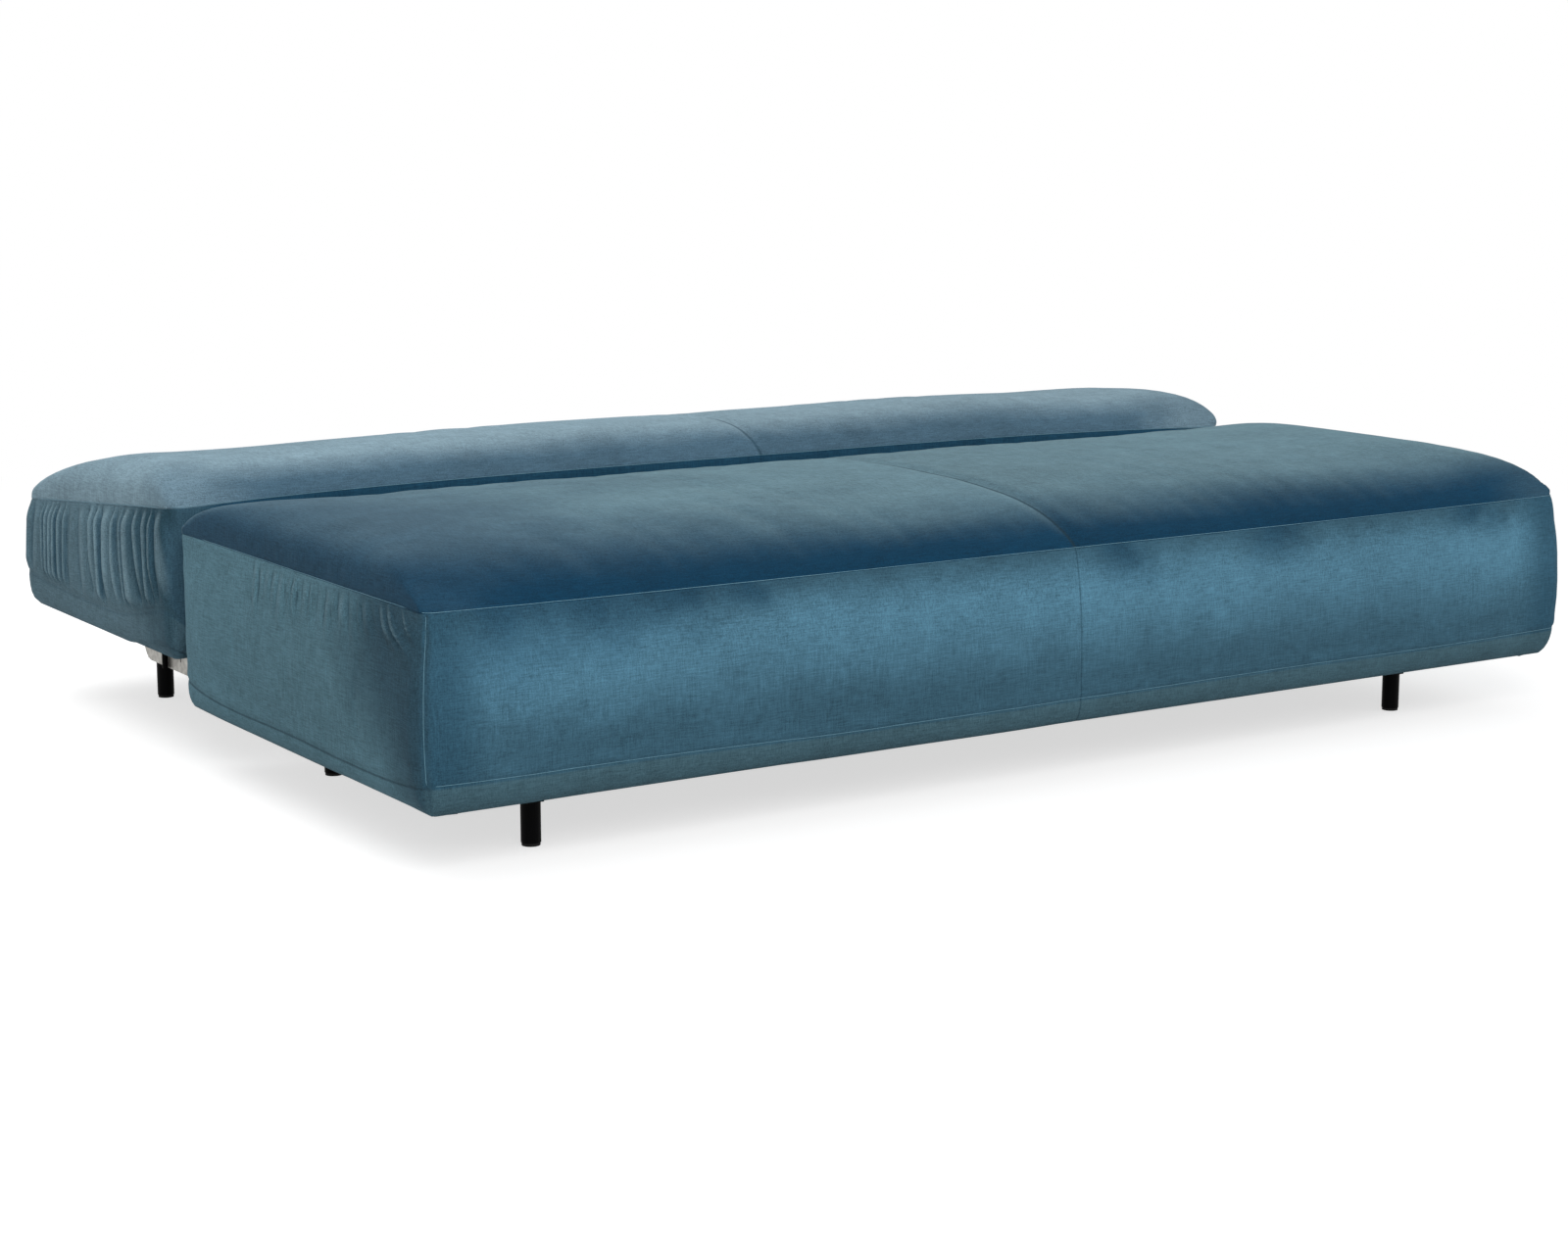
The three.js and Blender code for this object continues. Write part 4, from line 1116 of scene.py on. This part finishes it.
def side_tint(cloth, tones):
    """Front, ends and hem: painted shade darkens the ends towards the front, and the hem has its own tone."""
    # Painted shade on the ends, growing towards their front and, on the back, towards the seat
    along = cloth.py + cloth.sweep * 0.25 + cloth.below_seam.ramp(0.0, 250 * MM, -70 * MM, 60 * MM)
    near_front = along.ramp(tones.end_from, tones.end_to, 1.0, 0.0)
    end = near_front.mixed(tones.end, tones.end_dark)
    tint = cloth.facing_end.mixed(front_tint(cloth, tones), end)
    hem = cloth.facing_end.mixed(tones.hem, end)
    tint = (cloth.hem * 0.8).mixed(tint, hem)
    # Painted shade in the groove of the hem's seam on the ends
    line = cloth.panel.ramp(-0.95, -0.5) * cloth.panel.ramp(-0.5, -0.05, 1.0, 0.0)
    return (line * (cloth.facing_end * tones.hem_line)).mixed(tint, tones.valley)


SLUB_STRETCHES = ((620, 620, 46), (46, 620, 620), (620, 46, 620))


def centre_line(cloth, tones):
    """Strength of the painted shade line in the seam where the two halves of the cover meet."""
    width = cloth.top.ramp(0.0, 1.0, 1.0, 2.0) * (1.2 * MM)
    line = (cloth.from_centre / width).ramp(0.4, 2.0, tones.centre_line, 0.0)
    return line * cloth.top.ramp(0.0, 1.0, 0.55, 1.0)


def weave(cloth, tones):
    """Slubs that run each way, and the lightness that they, soft mottling, painted light and the two halves
    give.
    """
    slubs = [cloth.where.noise(1.0, stretch=s) for s in SLUB_STRETCHES]
    grain = slubs[0] + slubs[1] + slubs[2] - 1.5
    mottle = cloth.where.noise(22.0, 4.0, 0.6) - 0.5
    level = grain * 0.85 + mottle * 0.42 + cloth.sweep * 0.45
    # Painted light, growing towards the right end
    level = level + cloth.px.ramp(0.1, 1.0, 1.0, tones.right_gain)
    halves = cloth.right_of_seam.ramp(-1 * MM, 1 * MM, tones.halves, -tones.halves)
    return grain, level + halves * cloth.from_centre.ramp(0.0, 400 * MM, 1.0, 0.0) * cloth.top


def velvet(name, tones):
    """Crushed velvet whose colour holds painted sheen, light and shade, with painted highlights on fold
    crests.
    """
    material, tree, shader = new_material(name)
    cloth = velvet_fields(tree)
    tint = cloth.top.mixed(side_tint(cloth, tones), top_tint(tree, cloth, tones))
    # Painted shade in the centre seam
    tint = centre_line(cloth, tones).mixed(tint, tones.centre)
    # Painted highlights on the crests of folds and painted shade in their valleys
    tint = cloth.fold.ramp(0.25, 1.0, 0.0, 0.5).mixed(tint, tones.crest)
    tint = cloth.fold.ramp(-0.05, -0.95, 0.0, 0.62).mixed(tint, tones.valley)
    grain, level = weave(cloth, tones)
    tint = mixed_colours(1.0, tint, combined(tree, level, level, level), "MULTIPLY", tree)
    link(tree, tint, shader.inputs["Base Color"])
    shader.inputs["Roughness"].default_value = 0.88
    shader.inputs["Specular IOR Level"].default_value = 0.1
    shader.inputs["Sheen Weight"].default_value = 0.05
    shader.inputs["Sheen Roughness"].default_value = 0.4
    shader.inputs["Sheen Tint"].default_value = colour("#a9c4d2")
    raised = new_node(tree, "ShaderNodeBump", {"Height": grain, "Strength": 0.5, "Distance": 0.6 * MM})
    link(tree, raised.outputs[0], shader.inputs["Normal"])
    return material


# Velvet tones with light, sheen and shade painted in: the flat, sloping and left top tones paint sheen, the
# front's upper tone light, the corner, end, centre and valley tones shade, the crest tone highlights
SEAT_TONES = SimpleNamespace(
    light=colour("#66848f"),
    shade=colour("#3c586a"),
    shade_strength=0.85,
    deep=colour("#0b364f"),
    front_depth=1.0,
    upper=colour("#517d93"),
    low=colour("#365768"),
    # Darker strokes of the front: place, width, and reach below the seam
    strokes=(
        (-920 * MM, 130 * MM, 150 * MM),
        (-780 * MM, 120 * MM, 120 * MM),
        (-660 * MM, 110 * MM, 90 * MM),
        (-540 * MM, 80 * MM, 50 * MM),
        (120 * MM, 80 * MM, 90 * MM),
        (420 * MM, 100 * MM, 90 * MM),
        (830 * MM, 80 * MM, 50 * MM),
    ),
    corner=colour("#2c4f62"),
    end=colour("#567986"),
    end_dark=colour("#2f4a58"),
    end_from=FRONT + 30 * MM,
    end_to=FRONT + 260 * MM,
    hem=colour("#45616b"),
    hem_line=0.7,
    right_gain=1.12,
    left_lean=0.30,
    lean_from=-0.05,
    ahead_strength=0.0,
    front=FRONT,
    corner_depth=0.8,
    centre_line=0.8,
    centre=colour("#1c3441"),
    halves=0.08,
    crest=colour("#64808c"),
    valley=colour("#253b46"),
)
BACK_TONES = SimpleNamespace(
    light=colour("#86a0ad"),
    shade=colour("#7d97a4"),
    shade_strength=0.5,
    deep=colour("#1d4760"),
    front_depth=0.75,
    upper=colour("#456c80"),
    low=colour("#3f5f6e"),
    strokes=(),
    corner=colour("#385565"),
    end=colour("#5a7581"),
    end_dark=colour("#2a4653"),
    end_from=BACK.front,
    end_to=BACK.front + 230 * MM,
    hem=colour("#4d6a77"),
    hem_line=0.25,
    right_gain=1.0,
    left_lean=0.06,
    lean_from=0.04,
    # The back's front face, behind the seat, gets painted shade
    ahead_strength=0.9,
    front=BACK.front,
    corner_depth=0.3,
    centre_line=0.6,
    centre=colour("#24404f"),
    halves=0.05,
    crest=colour("#86a2ae"),
    valley=colour("#2b4a5b"),
)


def plain(name, tones, scale, rough, metal=0.0, detail=3, bump=0.2, relief=0.4 * MM, stretch=None, spec=0.5):
    """A finish of two tones with a fine grain in colour, roughness and relief."""
    material, tree, shader = new_material(name)
    where = Value(tree, new_node(tree, "ShaderNodeTexCoord").outputs["Object"])
    grain = where.noise(scale, detail, 0.6, stretch)
    first, second = (colour(code) for code in tones)
    link(tree, grain.ramp(0.3, 0.7).mixed(first, second), shader.inputs["Base Color"])
    link(tree, grain.ramp(0.2, 0.8, rough * 0.85, min(1.0, rough * 1.15)), shader.inputs["Roughness"])
    shader.inputs["Metallic"].default_value = metal
    shader.inputs["Specular IOR Level"].default_value = spec
    raised = new_node(tree, "ShaderNodeBump", {"Height": grain, "Strength": bump, "Distance": relief})
    link(tree, raised.outputs[0], shader.inputs["Normal"])
    return material


BLACK_STEEL = ("#020203", "#050506")
MATERIALS = {
    "seat_velvet": velvet("seat_velvet", SEAT_TONES),
    "back_velvet": velvet("back_velvet", BACK_TONES),
    # The seam line's light colour is partly a painted highlight on the seam's edge
    "thread": plain("seam_thread", ("#6b98aa", "#517d90"), 900, 0.7, bump=0.4, relief=0.3 * MM),
    "lining": plain("lining", ("#222326", "#34363a"), 700, 0.95, bump=0.5, spec=0.1, stretch=(1, 1, 0.4)),
    "foam": plain("foam", ("#e6dfc4", "#d3caa8"), 500, 0.95, bump=0.6),
    "wood": plain("wood", ("#c8a678", "#9b7345"), 6, 0.65, detail=8, stretch=(1, 12, 12), bump=0.3),
    "black_steel": plain("black_steel", BLACK_STEEL, 1600, 0.5, bump=0.3, relief=0.1 * MM, spec=0.04),
    "galvanised": plain("galvanised", ("#b4b2ac", "#918f89"), 90, 0.42, metal=0.7, detail=5, bump=0.1),
    "steel": plain("steel", ("#909396", "#6f7275"), 260, 0.4, metal=0.9, bump=0.1, stretch=(1, 1, 8)),
    "rubber": plain("rubber", ("#121212", "#1e1e1e"), 800, 0.85, bump=0.5, spec=0.3),
    "nylon": plain("nylon", ("#dad9d2", "#c9c8c0"), 400, 0.5, bump=0.2),
}

# The first of these that is part of a node's name decides its finish
NODE_FINISHES = {
    "nylon": ("slide_strip",),
    "rubber": ("bumper", "_glide"),
    "black_steel": ("_leg_", "stop_bolt", "seat_runner"),
    "wood": ("seat_frame", "back_frame", "_bearer", "_slat"),
    "lining": ("lining",),
    "foam": ("foam",),
    "galvanised": ("side_rail", "rear_cross_tube", "rear_bracket"),
    "steel": ("hinge", "back_plate", "pawl"),
}


def finish_nodes():
    for name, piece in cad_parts.items():
        for finish, parts in NODE_FINISHES.items():
            if any(part in name for part in parts):
                piece.data.materials.clear()
                piece.data.materials.append(MATERIALS[finish])
                break


# Stage, lights and camera


def area_lamp(name, place, target, size, power):
    lamp = bpy.data.lights.new(name, "AREA")
    lamp.shape = "RECTANGLE"
    lamp.size, lamp.size_y = size
    lamp.energy = power
    holder = bpy.data.objects.new(name, lamp)
    holder.location = place
    holder.rotation_euler = (Vector(target) - Vector(place)).to_track_quat("-Z", "Y").to_euler()
    bpy.context.scene.collection.objects.link(holder)


def floor_material():
    material, tree, shader = new_material("floor_white")
    shader.inputs["Base Color"].default_value = (FLOOR_TONE, FLOOR_TONE, FLOOR_TONE, 1)
    shader.inputs["Roughness"].default_value = 1.0
    shader.inputs["Specular IOR Level"].default_value = 0.0
    seen = seen_directly(tree)
    glow = new_node(tree, "ShaderNodeEmission", {"Strength": seen * FLOOR_GLOW})
    total = new_node(tree, "ShaderNodeAddShader", {0: shader.outputs[0], 1: glow.outputs[0]})
    away = Value(tree, new_node(tree, "ShaderNodeTexCoord").outputs["Object"]).length()
    white = new_node(tree, "ShaderNodeEmission", {"Strength": 1.0})
    inputs = {0: seen * away.ramp(*FLOOR_FADE), 1: total.outputs[0], 2: white.outputs[0]}
    blend = new_node(tree, "ShaderNodeMixShader", inputs)
    link(tree, blend.outputs[0], tree.nodes["Material Output"].inputs["Surface"])
    return material


def build_stage():
    h = FLOOR_HALF
    floor = add_mesh("floor", [(-h, -h, 0), (h, -h, 0), (h, h, 0), (-h, h, 0)], [(0, 1, 2, 3)], False)
    floor.data.materials.append(floor_material())
    world = bpy.data.worlds.new("studio")
    bpy.context.scene.world = world
    world.use_nodes = True
    background = world.node_tree.nodes["Background"]
    background.inputs["Color"].default_value = (1, 1, 1, 1)
    strength = seen_directly(world.node_tree).ramp(0.0, 1.0, WORLD_LIGHT, 1.0)
    link(world.node_tree, strength, background.inputs["Strength"])
    for lamp in LAMPS:
        area_lamp(*lamp)


def build_camera():
    lens = bpy.data.cameras.new("camera")
    lens.sensor_width = CAMERA.sensor
    lens.sensor_fit = "HORIZONTAL"
    lens.lens = CAMERA.lens
    lens.clip_start, lens.clip_end = CAMERA.clip
    camera = bpy.data.objects.new("camera", lens)
    camera.location = CAMERA.place
    tilt, turn = 90 - CAMERA.degrees_down, -CAMERA.degrees_right
    camera.rotation_euler = (math.radians(tilt), 0, math.radians(turn))
    bpy.context.scene.collection.objects.link(camera)
    bpy.context.scene.camera = camera


build_camera()
build_stage()
finish_nodes()
make_block(SEAT)
make_block(BACK)
make_linings()

bpy.context.scene.view_settings.view_transform = "Standard"
